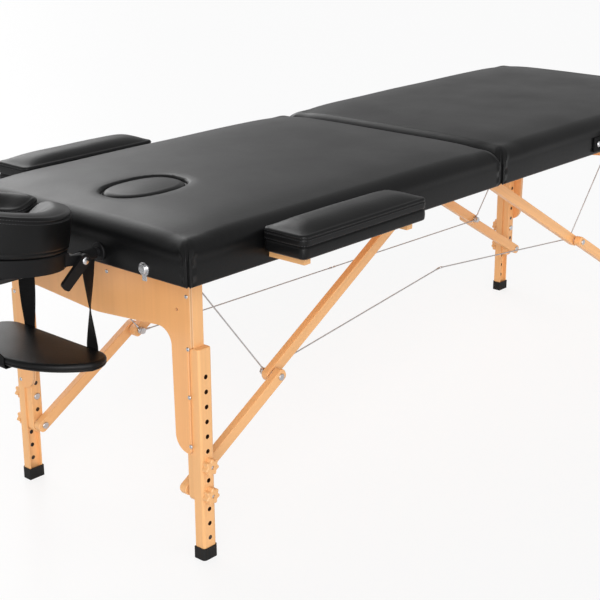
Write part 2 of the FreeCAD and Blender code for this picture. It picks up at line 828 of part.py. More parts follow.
def cradle_bore():
    """Running way along Y for the tilt rod."""
    reach = platform_radius * 2
    return cross_rod(cradle_rod_radius + running_gap, -cradle_pivot, tube_height, -reach, reach)


def tilted(shape):
    """Turns a piece of the cradle about the tilt rod to the angle at which it is set."""
    shape.rotate(Vec(-cradle_pivot, 0, tube_height), Vec(0, 1, 0), cradle_tilt)
    return shape


def cradle_platform():
    """Moulded dish under the padded ring, open below and cut off short of the tilt rod, on two brackets with bored ears."""
    centre = Vec(-cradle_centre, 0, platform_bottom)
    low = platform_bottom - overshoot
    high = platform_level + overshoot
    dish = Part.makeCylinder(platform_radius, platform_depth, centre)
    dish = dish.makeFillet(platform_edge_round, edges_above(dish, platform_level - overshoot))
    dish = dish.cut(Part.makeCylinder(platform_radius - platform_wall, platform_depth - platform_top, centre))
    dish = dish.fuse(Part.makeCylinder(platform_hole_radius + platform_wall, platform_depth, centre))
    dish = dish.cut(Part.makeCylinder(platform_hole_radius, high - low, Vec(-cradle_centre, 0, low)))
    behind = -cradle_pivot - platform_rod_clearance
    reach = -cradle_centre + platform_radius + overshoot
    dish = dish.cut(box(behind, reach, -platform_radius, platform_radius, low, high))
    dish = dish.cut(box(-cradle_centre, reach, -platform_slot_half_width, platform_slot_half_width, low, high))
    room = tube_radius + platform_tube_room
    under_top = platform_level - platform_top
    brackets = []
    for name, side in sides:
        y0 = side * (tube_offset + tube_radius + ear_gap)
        y1 = y0 + side * ear_thickness
        ear = box(-cradle_pivot - ear_length, -cradle_pivot, y0, y1, tube_height - ear_height / 2,
                  tube_height + ear_height / 2)
        ear = ear.fuse(box(-cradle_pivot - ear_length, -cradle_pivot - ear_length / 2, y0, y1,
                           tube_height - ear_height / 2, under_top))
        ear = ear.fuse(cross_rod(ear_height / 2, -cradle_pivot, tube_height, y0, y1))
        brackets.append(tilted(ear.removeSplitter().cut(cradle_bore())))
        dish = dish.cut(box(-cradle_centre, reach, side * tube_offset - room, side * tube_offset + room, low,
                            tube_height + room))
        dish = dish.cut(box(-cradle_pivot - ear_length - side_gap, reach, y0 - side * side_gap, y1 + side * side_gap,
                            low, under_top))
    dish = dish.cut(cradle_bore()).removeSplitter()
    return Part.makeCompound([tilted(dish)] + brackets)


def ring_profile():
    """Upright section of the padded ring, in the plane through its middle axis: crowned top, rounded foot."""
    x = -cradle_centre
    low = platform_level
    high = platform_level + ring_height
    left = ring_mean_radius - ring_half_width
    right = ring_mean_radius + ring_half_width
    corners = [Vec(x, left, low), Vec(x, right, low), Vec(x, right, high - ring_crown),
               Vec(x, ring_mean_radius, high), Vec(x, left, high - ring_crown)]
    return rounded_face(corners, [ring_foot_round, ring_foot_round, ring_top_round, ring_half_width, ring_top_round])


def face_cushion():
    """Padded ring, open towards the table, with round ends."""
    axis = Vec(-cradle_centre, 0, 0)
    up = Vec(0, 0, 1)
    profile = ring_profile()
    start = profile.copy()
    start.rotate(axis, up, ring_gap_half_angle - 90)
    ring = start.revolve(axis, up, 360 - 2 * ring_gap_half_angle)
    x = -cradle_centre
    outer_half = box(x - overshoot, x + overshoot, ring_mean_radius, ring_mean_radius + 2 * ring_half_width,
                     platform_level - overshoot, platform_level + ring_height + overshoot)
    tip = profile.common(outer_half).Faces[0]
    tip = tip.revolve(Vec(x, ring_mean_radius, 0), up, 360)
    for turn in (ring_gap_half_angle - 90, -90 - ring_gap_half_angle):
        end = tip.copy()
        end.rotate(axis, up, turn)
        ring = ring.fuse(end)
    return tilted(ring.removeSplitter())


def cam_lever():
    """Flat clamp lever on the near end of the tilt rod, wider round the rod than at its tip."""
    y0 = -lever_face()
    y1 = y0 - lever_thickness
    hub = cross_rod(lever_width / 2, -cradle_pivot, tube_height, y0, y1)
    half = lever_tip_width / 2
    corners = [Vec(-cradle_pivot, y0, tube_height + lever_width / 2 - overshoot),
               Vec(-cradle_pivot, y0, tube_height - lever_width / 2 + overshoot),
               Vec(-cradle_pivot - lever_length, y0, tube_height - half),
               Vec(-cradle_pivot - lever_length, y0, tube_height + half)]
    blade = rounded_face(corners, [0.0, 0.0, half / 2, half / 2]).extrude(Vec(0, y1 - y0, 0))
    lever = hub.fuse(blade).removeSplitter()
    lever.rotate(Vec(-cradle_pivot, 0, tube_height), Vec(0, 1, 0), -lever_angle)
    return lever.cut(cradle_bore())


# Arm shelf, hung from the cradle's tube on webbing
def arm_shelf():
    """D-shaped pad: straight edge towards the table, bowed edge away from it."""
    back = -half_length - shelf_gap
    wide = back - shelf_shoulder
    front = back - shelf_depth
    z = shelf_top - shelf_thickness
    y = shelf_half_width
    bow = Part.Arc(Vec(wide, -y, z), Vec(front, 0, z), Vec(wide, y, z)).toShape()
    radius = shelf_corner_radius
    short = radius * (1 - math.sqrt(0.5))
    outline = [bow]
    if shelf_shoulder > radius:
        outline.append(Part.LineSegment(Vec(wide, y, z), Vec(back - radius, y, z)).toShape())
        outline.append(Part.LineSegment(Vec(back - radius, -y, z), Vec(wide, -y, z)).toShape())
    outline.append(Part.Arc(Vec(back - radius, y, z), Vec(back - short, y - short, z), Vec(back, y - radius, z)).toShape())
    outline.append(Part.LineSegment(Vec(back, y - radius, z), Vec(back, radius - y, z)).toShape())
    outline.append(Part.Arc(Vec(back, radius - y, z), Vec(back - short, short - y, z), Vec(back - radius, -y, z)).toShape())
    pad = Part.Face(Part.Wire(Part.__sortEdges__(outline))).extrude(Vec(0, 0, shelf_thickness))
    pad = pad.makeFillet(shelf_edge_round, edges_above(pad, shelf_top - overshoot))
    return pad.makeFillet(shelf_edge_round / 2, edges_below(pad, z + overshoot))


def strap_loop(x0, x1, y, z):
    """Short sleeve of webbing round a tube along X."""
    outside = rod(tube_radius + strap_gap + strap_thickness, Vec(x0, y, z), Vec(x1, y, z))
    return outside.cut(rod(tube_radius + strap_gap, Vec(x0 - overshoot, y, z), Vec(x1 + overshoot, y, z)))


def strap_ring(middle, along, thick):
    """Outline of the webbing's section round a middle point."""
    wide = along * (strap_width / 2)
    deep = thick * (strap_thickness / 2)
    ring = [middle - wide - deep, middle + wide - deep, middle + wide + deep, middle - wide + deep]
    return Part.makePolygon(ring + ring[:1])


def twisted_strap(x, y, turn_total):
    """Webbing that turns as it comes down, from along the table to across it."""
    steps = round(abs(turn_total) / strap_turn_step)
    rings = []
    for i in range(steps + 1):
        share = i / steps
        turn = math.radians(turn_total * share)
        along = Vec(math.cos(turn), math.sin(turn), 0)
        thick = Vec(-math.sin(turn), math.cos(turn), 0)
        height = strap_twist_top + (strap_twist_bottom - strap_twist_top) * share
        rings.append(strap_ring(Vec(x, y, height), along, thick))
    return Part.makeLoft(rings, True, True)


def shelf_bow():
    """Centre along X and radius of the shelf's bowed edge."""
    rise = shelf_depth - shelf_shoulder
    radius = (shelf_half_width ** 2 + rise ** 2) / (2 * rise)
    return -half_length - shelf_gap - shelf_depth + radius, radius


def front_sling(side, under):
    """Front half of a sling: from the tube's bend down to the shelf's bowed edge, over it and under the shelf."""
    turn = math.radians(strap_tube_angle)
    bend = -half_length - tube_front_reach + tube_offset
    out = Vec(-math.cos(turn), side * math.sin(turn), 0)
    along = Vec(-out.y, out.x, 0)
    hang = Vec(bend, 0, tube_height) + out * tube_offset
    outside = tube_radius + strap_gap + strap_thickness
    sleeve = headrest_tube(outside).cut(headrest_tube(tube_radius + strap_gap))
    reach = outside + strap_gap
    near_corner = hang - along * (strap_width / 2) - out * reach
    corners = [near_corner, near_corner + along * strap_width, near_corner + along * strap_width + out * reach * 2,
               near_corner + out * reach * 2]
    corners = [point - Vec(0, 0, reach) for point in corners]
    keep = Part.Face(Part.makePolygon(corners + corners[:1])).extrude(Vec(0, 0, reach * 2))
    sling = sleeve.common(keep)
    centre, radius = shelf_bow()
    edge_turn = math.asin(strap_front_half_spread / radius)
    edge_out = Vec(-math.cos(edge_turn), side * math.sin(edge_turn), 0)
    edge_along = Vec(-edge_out.y, edge_out.x, 0)
    edge = Vec(centre, 0, 0) + edge_out * (radius + strap_gap + strap_thickness / 2)
    drop = hang - Vec(0, 0, tube_radius + strap_gap + strap_thickness / 2)
    low = under - strap_thickness
    rings = [strap_ring(drop, along, out),
             strap_ring(edge + Vec(0, 0, shelf_top), edge_along, edge_out),
             strap_ring(edge + Vec(0, 0, low), edge_along, edge_out)]
    return sling.fuse(Part.makeLoft(rings, True, True)), edge, edge_along


def shelf_straps():
    """Two webbing slings, each from a tube down behind the shelf, under it and up to the tube's bend."""
    straps = []
    back = -half_length - shelf_gap + strap_gap
    x = back + strap_thickness / 2
    tube_bottom = tube_height - tube_radius - strap_gap - strap_thickness / 2
    under = shelf_top - shelf_thickness - strap_gap
    half = strap_width / 2
    for name, side in sides:
        y = side * tube_offset
        turn = near_strap_turn if name == "near" else far_strap_turn
        strap = strap_loop(x - half, x + half, y, tube_height)
        strap = strap.fuse(box(x - half, x + half, y - strap_thickness / 2, y + strap_thickness / 2,
                               strap_twist_top, tube_bottom))
        strap = strap.fuse(twisted_strap(x, y, -side * turn))
        strap = strap.fuse(box(back, back + strap_thickness, y - half, y + half, under - strap_thickness, strap_twist_bottom))
        front, edge, edge_along = front_sling(side, under)
        level = Vec(0, 0, under - strap_thickness)
        corners = [Vec(back + strap_thickness, y - half, 0) + level, Vec(back + strap_thickness, y + half, 0) + level,
                   edge + edge_along * (side * half) + level, edge - edge_along * (side * half) + level]
        if (corners[2] - corners[1]).Length > (corners[3] - corners[1]).Length:
            corners[2], corners[3] = corners[3], corners[2]
        strip = Part.Face(Part.makePolygon(corners + corners[:1])).extrude(Vec(0, 0, strap_thickness))
        straps.append(strap.fuse(strip).fuse(front).removeSplitter())
    return Part.makeCompound(straps)


# Side armrests: a pad on two square bars that slide into the rails
def bar_places():
    return [-armrest_centre - bar_spacing / 2, -armrest_centre + bar_spacing / 2]


def armrest_pad(side):
    """Pad of two stuffed layers, drawn in at the seam between them."""
    inner = half_width + armrest_gap
    outer = inner + armrest_width
    x0 = -armrest_centre - armrest_length / 2
    x1 = -armrest_centre + armrest_length / 2
    y0 = min(side * inner, side * outer)
    y1 = max(side * inner, side * outer)
    seam = armrest_bottom + armrest_thickness * armrest_seam_share
    upper = rounded_block(x0, x1, y0, y1, seam, armrest_top, armrest_corner_radius)
    upper = crowned(upper, y0, y1, seam, armrest_top, armrest_crown)
    upper = upper.makeFillet(armrest_edge_round, edges_above(upper, seam + overshoot))
    upper = upper.makeFillet(armrest_seam_round, edges_below(upper, seam + overshoot))
    lower = rounded_block(x0, x1, y0, y1, armrest_bottom, seam, armrest_corner_radius)
    lower = lower.makeFillet(armrest_seam_round, edges_above(lower, seam - overshoot))
    lower = lower.makeFillet(armrest_edge_round / 2, edges_below(lower, armrest_bottom + overshoot))
    return upper.fuse(lower).removeSplitter()


def armrest_bars(side):
    start = side * (rail_inner - bar_inside)
    stop = side * (half_width + armrest_gap + armrest_width - bar_short)
    bars = [box(x - bar_size / 2, x + bar_size / 2, start, stop, armrest_bottom - bar_size, armrest_bottom)
            for x in bar_places()]
    return Part.makeCompound(bars)


# Case latch at the head end and carry handle on the near side
def case_latch():
    face = Vec(-half_length, -latch_offset, underside + latch_above_underside)
    out = Vec(-1, 0, 0)
    plate = rod(latch_radius, face, face + out * latch_plate)
    dome = rod(latch_dome_radius, face + out * latch_plate, face + out * (latch_plate + latch_dome))
    dome = dome.makeFillet(latch_dome / 2, [min(dome.Edges, key=lambda edge: edge.BoundBox.Center.x)])
    half = latch_tongue_width / 2
    tongue = box(face.x, face.x - latch_plate, face.y - half, face.y + half, face.z - latch_tongue_length, face.z)
    spindle = rod(latch_spindle_radius, face, face - out * latch_spindle_length)
    return plate.fuse(dome).fuse(tongue).fuse(spindle).removeSplitter()


def carry_handle():
    """Strap handle, flat against the near side at both ends and bowed out between them."""
    side = -half_width
    x0 = handle_centre - handle_length / 2
    x1 = handle_centre + handle_length / 2
    z = underside + (deck_top - underside - handle_height) / 2
    in0 = x0 + handle_plate_length
    in1 = x1 - handle_plate_length
    rise = side - handle_rise
    slope = handle_rise
    thick = handle_thickness
    shift = thick * math.tan(math.radians(22.5))
    outline = [(x0, side), (in0, side), (in0 + slope, rise), (in1 - slope, rise), (in1, side), (x1, side),
               (x1, side - thick), (in1 - shift, side - thick), (in1 - slope - shift, rise - thick),
               (in0 + slope + shift, rise - thick), (in0 + shift, side - thick), (x0, side - thick)]
    inside = handle_bend_radius
    outside = handle_bend_radius - thick
    radii = [0.0, outside, inside, inside, outside, 0.0, thick / 2, inside, outside, outside, inside, thick / 2]
    face = rounded_face([Vec(x, y, z) for x, y in outline], radii)
    return face.extrude(Vec(0, 0, handle_height))


def all_pieces():
    """Every piece by its name, drawn with the middle hinge at X = 0."""
    pieces = {}
    for section in sections:
        name = section.name
        pieces[name + "_cushion"] = cushion(section)
        pieces[name + "_side_band"] = side_band(section)
        pieces[name + "_deck"] = deck(section)
        pieces[name + "_side_rails"] = side_rails(section)
        pieces[name + "_cross_rails"] = cross_rails(section)
        pieces[name + "_pivot_rods"] = pivot_rods(section)
        pieces[name + "_hinge_leaves"] = hinge_leaves(section)
        pieces[name + "_cables"] = cables(section)
        pieces[name + "_end_panel"] = end_panel(section)
        pieces[name + "_leg_posts"] = leg_posts(section)
        pieces[name + "_leg_bolts"] = leg_bolts(section)
        pieces[name + "_upper_struts"] = upper_struts(section)
        pieces[name + "_lower_struts"] = lower_struts(section)
        pieces[name + "_elbow_bolts"] = elbow_bolts(section)
        pieces[name + "_elbow_pins"] = elbow_pins(section)
        for side_name, side in sides:
            corner = name + "_" + side_name
            pieces[corner + "_outer_leg"] = outer_leg(section, side)
            pieces[corner + "_rubber_foot"] = rubber_foot(section, side)
            pieces[corner + "_upper_knob"] = star_knob(section, side, upper_knob_height)
            pieces[corner + "_lower_knob"] = star_knob(section, side, lower_knob_height)
    pieces["face_plug"] = face_plug()
    pieces["headrest_sockets"] = headrest_sockets()
    pieces["headrest_frame"] = headrest_frame()
    pieces["cradle_platform"] = cradle_platform()
    pieces["face_cushion"] = face_cushion()
    pieces["cam_lever"] = cam_lever()
    pieces["arm_shelf"] = arm_shelf()
    pieces["shelf_straps"] = shelf_straps()
    for side_name, side in sides:
        pieces[side_name + "_armrest_pad"] = armrest_pad(side)
        pieces[side_name + "_armrest_bars"] = armrest_bars(side)
    pieces["case_latch"] = case_latch()
    pieces["carry_handle"] = carry_handle()
    return pieces


def export(pieces):
    """Moves every piece so that the middle of the whole outline is at X = 0, and writes it."""
    os.makedirs("parts", exist_ok=True)
    outline = Part.makeCompound(list(pieces.values())).optimalBoundingBox(False)
    shift = -outline.Center.x
    print("moved along X by", round(shift, 4))
    for name, shape in pieces.items():
        shape.translate(Vec(shift, 0, 0))
        shape.exportStep("parts/" + name + ".step")
        print(name, "solids", len(shape.Solids), "volume", round(shape.Volume), "valid", shape.isValid())
    return shift


origin_shift = export(all_pieces())
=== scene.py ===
import json
import math
from math import pi

import bmesh
import bpy
import numpy as np
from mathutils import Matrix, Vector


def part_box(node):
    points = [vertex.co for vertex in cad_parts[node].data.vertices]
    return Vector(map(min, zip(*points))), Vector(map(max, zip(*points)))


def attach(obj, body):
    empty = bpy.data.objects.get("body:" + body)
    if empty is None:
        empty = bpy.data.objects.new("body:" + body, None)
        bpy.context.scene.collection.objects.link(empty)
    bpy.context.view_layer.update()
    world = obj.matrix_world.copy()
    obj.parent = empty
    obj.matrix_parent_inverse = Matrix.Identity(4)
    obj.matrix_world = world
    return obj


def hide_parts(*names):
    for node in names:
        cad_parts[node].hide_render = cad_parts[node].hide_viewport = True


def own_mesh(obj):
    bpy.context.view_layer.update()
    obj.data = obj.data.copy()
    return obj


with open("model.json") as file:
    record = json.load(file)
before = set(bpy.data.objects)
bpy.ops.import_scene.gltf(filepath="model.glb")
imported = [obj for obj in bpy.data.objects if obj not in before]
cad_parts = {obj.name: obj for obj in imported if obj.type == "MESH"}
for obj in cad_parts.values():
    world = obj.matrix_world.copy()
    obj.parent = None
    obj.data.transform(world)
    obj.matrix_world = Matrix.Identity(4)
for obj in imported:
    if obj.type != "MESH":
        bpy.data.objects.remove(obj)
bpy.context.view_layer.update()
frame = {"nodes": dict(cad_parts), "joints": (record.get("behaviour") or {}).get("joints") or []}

# Wooden frames of the two sections
# Beech rails stand on edge round each half under a thin plywood deck. They are glued and screwed at the
# corners, and two steel hinges join the halves in the middle.
mm = 0.001
hinge_x = next(joint for joint in frame["joints"] if joint["name"] == "table_fold")["pos_m"][0]
ends = (("head", -1), ("foot", 1))
sides = (("near", -1), ("far", 1))


def finish(name, colour, roughness, **sockets):
    """One Principled finish; further sockets are named with an underscore for each space."""
    material = bpy.data.materials.new(name)
    material.use_nodes = True
    surface = material.node_tree.nodes["Principled BSDF"]
    surface.inputs["Base Color"].default_value = (*colour, 1.0)
    surface.inputs["Roughness"].default_value = roughness
    for socket, value in sockets.items():
        surface.inputs[socket.replace("_", " ")].default_value = value
    return material, material.node_tree, surface


def shade(tree, kind, inputs, **settings):
    """A shader node; each input is a plain value, or the socket of another node that feeds it."""
    node = tree.nodes.new(kind)
    for name, value in settings.items():
        setattr(node, name, value)
    for name, value in inputs.items():
        if isinstance(value, bpy.types.NodeSocket):
            tree.links.new(value, node.inputs[name])
        else:
            node.inputs[name].default_value = value
    return node


def own_spot(tree):
    """The piece's own coordinates, as a socket."""
    return shade(tree, "ShaderNodeTexCoord", {}).outputs["Object"]


def noise(tree, vector, scale, **inputs):
    """Strength of a noise of the given scale; further inputs go by their names."""
    return shade(tree, "ShaderNodeTexNoise", {"Vector": vector, "Scale": scale, **inputs}).outputs["Fac"]


def worked(tree, operation, *values):
    """Result of one operation of arithmetic on plain values or sockets."""
    return shade(tree, "ShaderNodeMath", dict(enumerate(values)), operation=operation).outputs["Value"]


def ramp(tree, value, stops):
    """Colours between the given stops, each a position and a colour."""
    node = shade(tree, "ShaderNodeValToRGB", {"Fac": value})
    first, last = node.color_ramp.elements
    first.position, first.color = stops[0][0], (*stops[0][1], 1.0)
    last.position, last.color = stops[-1][0], (*stops[-1][1], 1.0)
    for position, colour in stops[1:-1]:
        node.color_ramp.elements.new(position).color = (*colour, 1.0)
    return node.outputs["Color"]


def wood_tones(tree, tone, darkest, lightest, along, turn):
    """A wood's tone, darker and lighter with its grain: broad streaks and short pores along the fibres.

    The fibres are given by three lengths, the longest along them, and a turn about Y."""
    fibres = shade(
        tree, "ShaderNodeMapping", {"Vector": own_spot(tree), "Rotation": (0.0, turn, 0.0), "Scale": along},
        vector_type="TEXTURE").outputs["Vector"]
    streaks = noise(tree, fibres, 1.0, Detail=5.0, Roughness=0.62, Distortion=0.25)
    pores = noise(tree, fibres, 7.5, Detail=2.0)
    grain = worked(tree, "MULTIPLY_ADD", pores, pore_share, streaks)
    dark, light = np.array(tone) * darkest, np.array(tone) * lightest
    return ramp(tree, grain, ((0.44, dark), (0.68, tone), (0.92, light)))


def beech(name, along, turn=0.0):
    """Beech under clear satin varnish, its grain along the piece."""
    material, tree, surface = finish(
        name, beech_tone, 0.36, Coat_Weight=0.2, Coat_Roughness=0.18, Specular_IOR_Level=0.4)
    tree.links.new(wood_tones(tree, beech_tone, 0.91, 1.05, along, turn), surface.inputs["Base Color"])
    return material


def dress(material, *names):
    """Gives CAD pieces their finish."""
    for name in names:
        piece = frame["nodes"][name]
        if not piece.material_slots:
            piece.data.materials.append(material)
        for holder in piece.material_slots:
            holder.material = material


beech_tone, pore_share = (0.83, 0.452, 0.19), 0.34
long_grain, cross_grain = 0.55, 0.011
grain_x = (long_grain, cross_grain, cross_grain)
grain_y = (cross_grain, long_grain, cross_grain)
beech_along = beech("beech_along", grain_x)
beech_across = beech("beech_across", grain_y)
for end, way in ends:
    dress(beech_along, f"{end}_side_rails")
    dress(beech_across, f"{end}_cross_rails")

# Rods, hinges and bolts
# Bright plated steel: the rods on which the legs and braces turn, the two middle hinges screwed to the hinge
# rails, and the bolts through the legs and the elbows of the braces.
steel, steel_tree, steel_surface = finish("plated_steel", (0.62, 0.62, 0.63), 0.24, Metallic=1.0)
steel_wear = noise(steel_tree, own_spot(steel_tree), 260.0)
steel_dull = shade(steel_tree, "ShaderNodeMapRange", {"Value": steel_wear, "To Min": 0.16, "To Max": 0.34})
steel_tree.links.new(steel_dull.outputs["Result"], steel_surface.inputs["Roughness"])
for end, way in ends:
    dress(steel, f"{end}_pivot_rods", f"{end}_hinge_leaves", f"{end}_leg_bolts", f"{end}_elbow_bolts",
          f"{end}_elbow_pins")


# Plywood decks and end panels
# Birch plywood with clear varnish. The deck closes each frame under the foam. The panels are sawn to a
# waisted arch, screwed to the front of the leg posts, and show their pale layers along the sawn edges.
def mixed(tree, share, first, second):
    """Colour between two colours by a share; each is a plain value or a socket."""
    return shade(tree, "ShaderNodeMix", {0: share, 6: first, 7: second}, data_type="RGBA").outputs[2]


def plywood(name, along, layers_from, layers_to):
    """Birch plywood: a veneer with its grain on both faces, and pale and brown layers between them in X."""
    material, tree, surface = finish(
        name, ply_tone, 0.34, Coat_Weight=0.25, Coat_Roughness=0.16, Specular_IOR_Level=0.4)
    veneer = wood_tones(tree, ply_tone, 0.955, 1.03, along, 0.0)
    parts = shade(tree, "ShaderNodeSeparateXYZ", {"Vector": own_spot(tree)}).outputs
    depth = shade(tree, "ShaderNodeMapRange", {
        "Value": parts["X"], "From Min": layers_from, "From Max": layers_to}).outputs["Result"]
    cream, brown = (0.86, 0.58, 0.33), (0.66, 0.34, 0.15)
    layers = ramp(tree, depth, ((0.16, cream), (0.40, brown), (0.60, brown), (0.84, cream)))
    inside = worked(tree, "COMPARE", depth, 0.5, 0.38)
    tree.links.new(mixed(tree, inside, veneer, layers), surface.inputs["Base Color"])
    return material


ply_tone = (0.85, 0.425, 0.165)
panel_grain, deck_grain = (0.02, 0.013, 0.7), (0.7, 0.013, 0.02)
# The deck's sawn edges are out of sight, so its layers are set beyond its end.
beyond_from, beyond_to = -1.0, -0.5
for end, way in ends:
    panel_low, panel_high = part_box(f"{end}_end_panel")
    dress(plywood(f"{end}_panel_ply", panel_grain, panel_low.x, panel_high.x), f"{end}_end_panel")
    deck_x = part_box(f"{end}_deck")[0].x
    dress(plywood(f"{end}_deck_ply", deck_grain, deck_x + beyond_from, deck_x + beyond_to), f"{end}_deck")


# Panel screws
# Small plated pan-head screws that hold each panel to its two posts, and two more near its top.
def grid_faces(rows, columns, around=False):
    """Quads between neighbouring points of a grid, whose columns close on themselves where it goes around."""
    strips = columns if around else columns - 1
    row, column = np.meshgrid(np.arange(rows - 1), np.arange(strips), indexing="ij")
    after = (column + 1) % columns
    corners = [row * columns + column, row * columns + after, (row + 1) * columns + after,
               (row + 1) * columns + column]
    return np.stack(corners, -1).reshape(-1, 4)


def ringed(rings):
    """Rings of points as a form: each ring is closed, and joined to the next."""
    return rings.reshape(-1, 3), grid_faces(*rings.shape[:2], around=True)


def cuts_round(cuts):
    """Angles that cut a full circle evenly."""
    return np.linspace(0.0, 2.0 * pi, cuts, endpoint=False)


def joined(forms):
    """Several forms as one: their points in a row, and their faces counted on from form to form."""
    starts = np.cumsum([0] + [len(points) for points, faces in forms])
    points = np.concatenate([points for points, faces in forms])
    return points, np.concatenate([faces + start for (_, faces), start in zip(forms, starts)])


def new_piece(name, form, material, body):
    """A mesh piece from points and quads, with its doubles merged and its faces turned outwards."""
    points, faces = form
    mesh = bpy.data.meshes.new(name)
    mesh.from_pydata(points.tolist(), [], faces.tolist())
    work = bmesh.new()
    work.from_mesh(mesh)
    bmesh.ops.remove_doubles(work, verts=work.verts, dist=1e-6)
    bmesh.ops.recalc_face_normals(work, faces=work.faces)
    work.to_mesh(mesh)
    work.free()
    mesh.shade_smooth()
    mesh.materials.append(material)
    piece = bpy.data.objects.new(name, mesh)
    bpy.context.scene.collection.objects.link(piece)
    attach(piece, body)
    return piece


def place(x, y, z):
    """A point given in millimetres from the middle hinge, the centre line and the floor, in the row frame."""
    return np.array((hinge_x + x * mm, y * mm, z * mm))


def turned(centre, axis, radii, heights, cuts=24):
    """A profile turned about an axis: each ring has its own radius, at its own height along the axis."""
    axis = np.array(axis, float)
    axis /= np.linalg.norm(axis)
    wide = np.cross(axis, (0.0, 0.0, 1.0) if abs(axis[2]) < 0.9 else (1.0, 0.0, 0.0))
    wide /= np.linalg.norm(wide)
    angle = cuts_round(cuts)[:, None]
    spoke = np.cos(angle) * wide + np.sin(angle) * np.cross(axis, wide)
    radii, heights = np.array(radii)[:, None, None] * mm, np.array(heights)[:, None, None] * mm
    return ringed(centre + heights * axis + radii * spoke)


screw_radii = (0.0, 4.0, 4.0, 3.3, 2.0, 1.6, 0.0)
screw_heights = (0.0, 0.0, 0.5, 1.3, 1.7, 1.2, 1.2)
screw_levels = (513.0, 415.0, 323.0, 227.0)
top_screw_lane, top_screw_level = 38.0, 516.0
small_cuts = 16
panel_faces = {"head": (-867.0, 247.0), "foot": (847.0, 211.0)}
for end, way in ends:
    face, post_middle = panel_faces[end]
    spots = [(side * post_middle, level) for _, side in sides for level in screw_levels]
    spots += [(side * top_screw_lane, top_screw_level) for _, side in sides]
    outward = (way, 0.0, 0.0)
    screws = [turned(place(face, *spot), outward, screw_radii, screw_heights, small_cuts) for spot in spots]
    new_piece(f"{end}_panel_screws", joined(screws), steel, f"{end}_leg_frame")


# Legs, posts and braces
# Straight-grained beech: two fixed posts to an end, grooved outer legs that slide on them, and two-bar
# braces. Lobed knobs on the bolts clamp the outer legs at the chosen height, in a row of drilled holes.
def drilled(name, x):
    """Upright beech with a row of drilled holes along Y at X, with painted shade inside each hole for the
    shade of a deep hole.
    """
    material = beech(name, grain_z)
    tree = material.node_tree
    colour = tree.nodes["Principled BSDF"].inputs["Base Color"]
    parts = shade(tree, "ShaderNodeSeparateXYZ", {"Vector": own_spot(tree)}).outputs
    aside = worked(tree, "SUBTRACT", parts["X"], x)
    above = worked(tree, "SUBTRACT", parts["Z"], hole_level)
    nearest = worked(tree, "WRAP", above, hole_pitch / 2.0, -hole_pitch / 2.0)
    off = shade(tree, "ShaderNodeCombineXYZ", {"X": aside, "Z": nearest}).outputs["Vector"]
    away = shade(tree, "ShaderNodeVectorMath", {0: off}, operation="LENGTH").outputs["Value"]
    within = worked(tree, "LESS_THAN", away, hole_shade)
    below = worked(tree, "LESS_THAN", parts["Z"], hole_top)
    inside = worked(tree, "MULTIPLY", within, below)
    # Painted shade: within each hole the wood's tones give way to a dark tone.
    tree.links.new(mixed(tree, inside, colour.links[0].from_socket, hole_painted_shade), colour)
    return material


grain_z = (cross_grain, cross_grain, long_grain)
brace_slope = math.radians(30.3)
# Painted shade: the dark colour laid inside the drilled holes in place of the shade within them.
hole_painted_shade = (0.030, 0.012, 0.005, 1.0)
hole_level, hole_pitch, hole_shade, hole_top = 188.0 * mm, 29.0 * mm, 4.5 * mm, 376.0 * mm
leg_pivots = {"head": -845.5, "foot": 825.5}
for end, way in ends:
    beech_brace = beech(f"{end}_beech_brace", grain_x, way * brace_slope)
    # Posts and outer legs take beech with painted shade in their holes.
    beech_hole_shaded = drilled(f"{end}_beech_hole_shaded", place(leg_pivots[end], 0.0, 0.0)[0])
    dress(beech_hole_shaded, f"{end}_leg_posts")
    dress(beech_brace, f"{end}_upper_struts", f"{end}_lower_struts")
    for name, side in sides:
        dress(beech_hole_shaded, f"{end}_{name}_outer_leg")
        dress(beech_across, f"{end}_{name}_upper_knob", f"{end}_{name}_lower_knob")

# Rubber feet
# Black rubber caps pushed over the lower ends of the outer legs.
rubber = finish("black_rubber", (0.012, 0.012, 0.012), 0.62, Specular_IOR_Level=0.25)[0]
for end, way in ends:
    for name, side in sides:
        dress(rubber, f"{end}_{name}_rubber_foot")


# Wire ropes
# Stranded steel rope, three millimetres thick, with a pressed eye and ferrule at each bolt. One rope on each
# side ties a leg's pivot to the elbow of its brace, and one ties the two elbows together across the middle.
def route(points):
    """The rope's own line: a smooth spline with the route's points as control points, read back as points."""
    curve = bpy.data.curves.new("rope_route", "CURVE")
    curve.dimensions = "3D"
    spline = curve.splines.new("NURBS")
    spline.points.add(len(points) - 1)
    spline.points.foreach_set("co", np.c_[points, np.ones(len(points))].ravel())
    spline.order_u = 3
    spline.use_endpoint_u = True
    carrier = bpy.data.objects.new("rope_route", curve)
    mesh = bpy.data.meshes.new_from_object(carrier)
    line = np.zeros(len(mesh.vertices) * 3)
    mesh.vertices.foreach_get("co", line)
    bpy.data.meshes.remove(mesh)
    bpy.data.objects.remove(carrier)
    bpy.data.curves.remove(curve)
    return line.reshape(-1, 3)


def lengths_along(line):
    """How far along a line of points each point lies."""
    return np.r_[0.0, np.cumsum(np.linalg.norm(np.diff(line, axis=0), axis=1))]


def read_along(at, run, line):
    """Points of a line at the given lengths along it."""
    return np.stack([np.interp(at, run, column) for column in line.T], axis=1)


def spaced(line, step):
    """The line again, with its points about a step apart."""
    run = lengths_along(line)
    at = np.linspace(0.0, run[-1], int(run[-1] / step) + 2)
    return read_along(at, run, line), at


def unit(vectors):
    """The vectors again, each one long."""
    return vectors / np.linalg.norm(vectors, axis=-1, keepdims=True)


def carried(path, wide, deep, profile):
    """A profile carried along a path: each point is the path's, plus the profile's first coordinate along the
    width direction and its second along the depth direction. Both ends are drawn in to the path."""
    rings = path[:, None] + profile[None, :, :1] * wide[:, None] + profile[None, :, 1:] * deep[:, None]
    start, stop = np.broadcast_to(path[0], rings[:1].shape), np.broadcast_to(path[-1], rings[:1].shape)
    return ringed(np.r_[start, rings, stop])


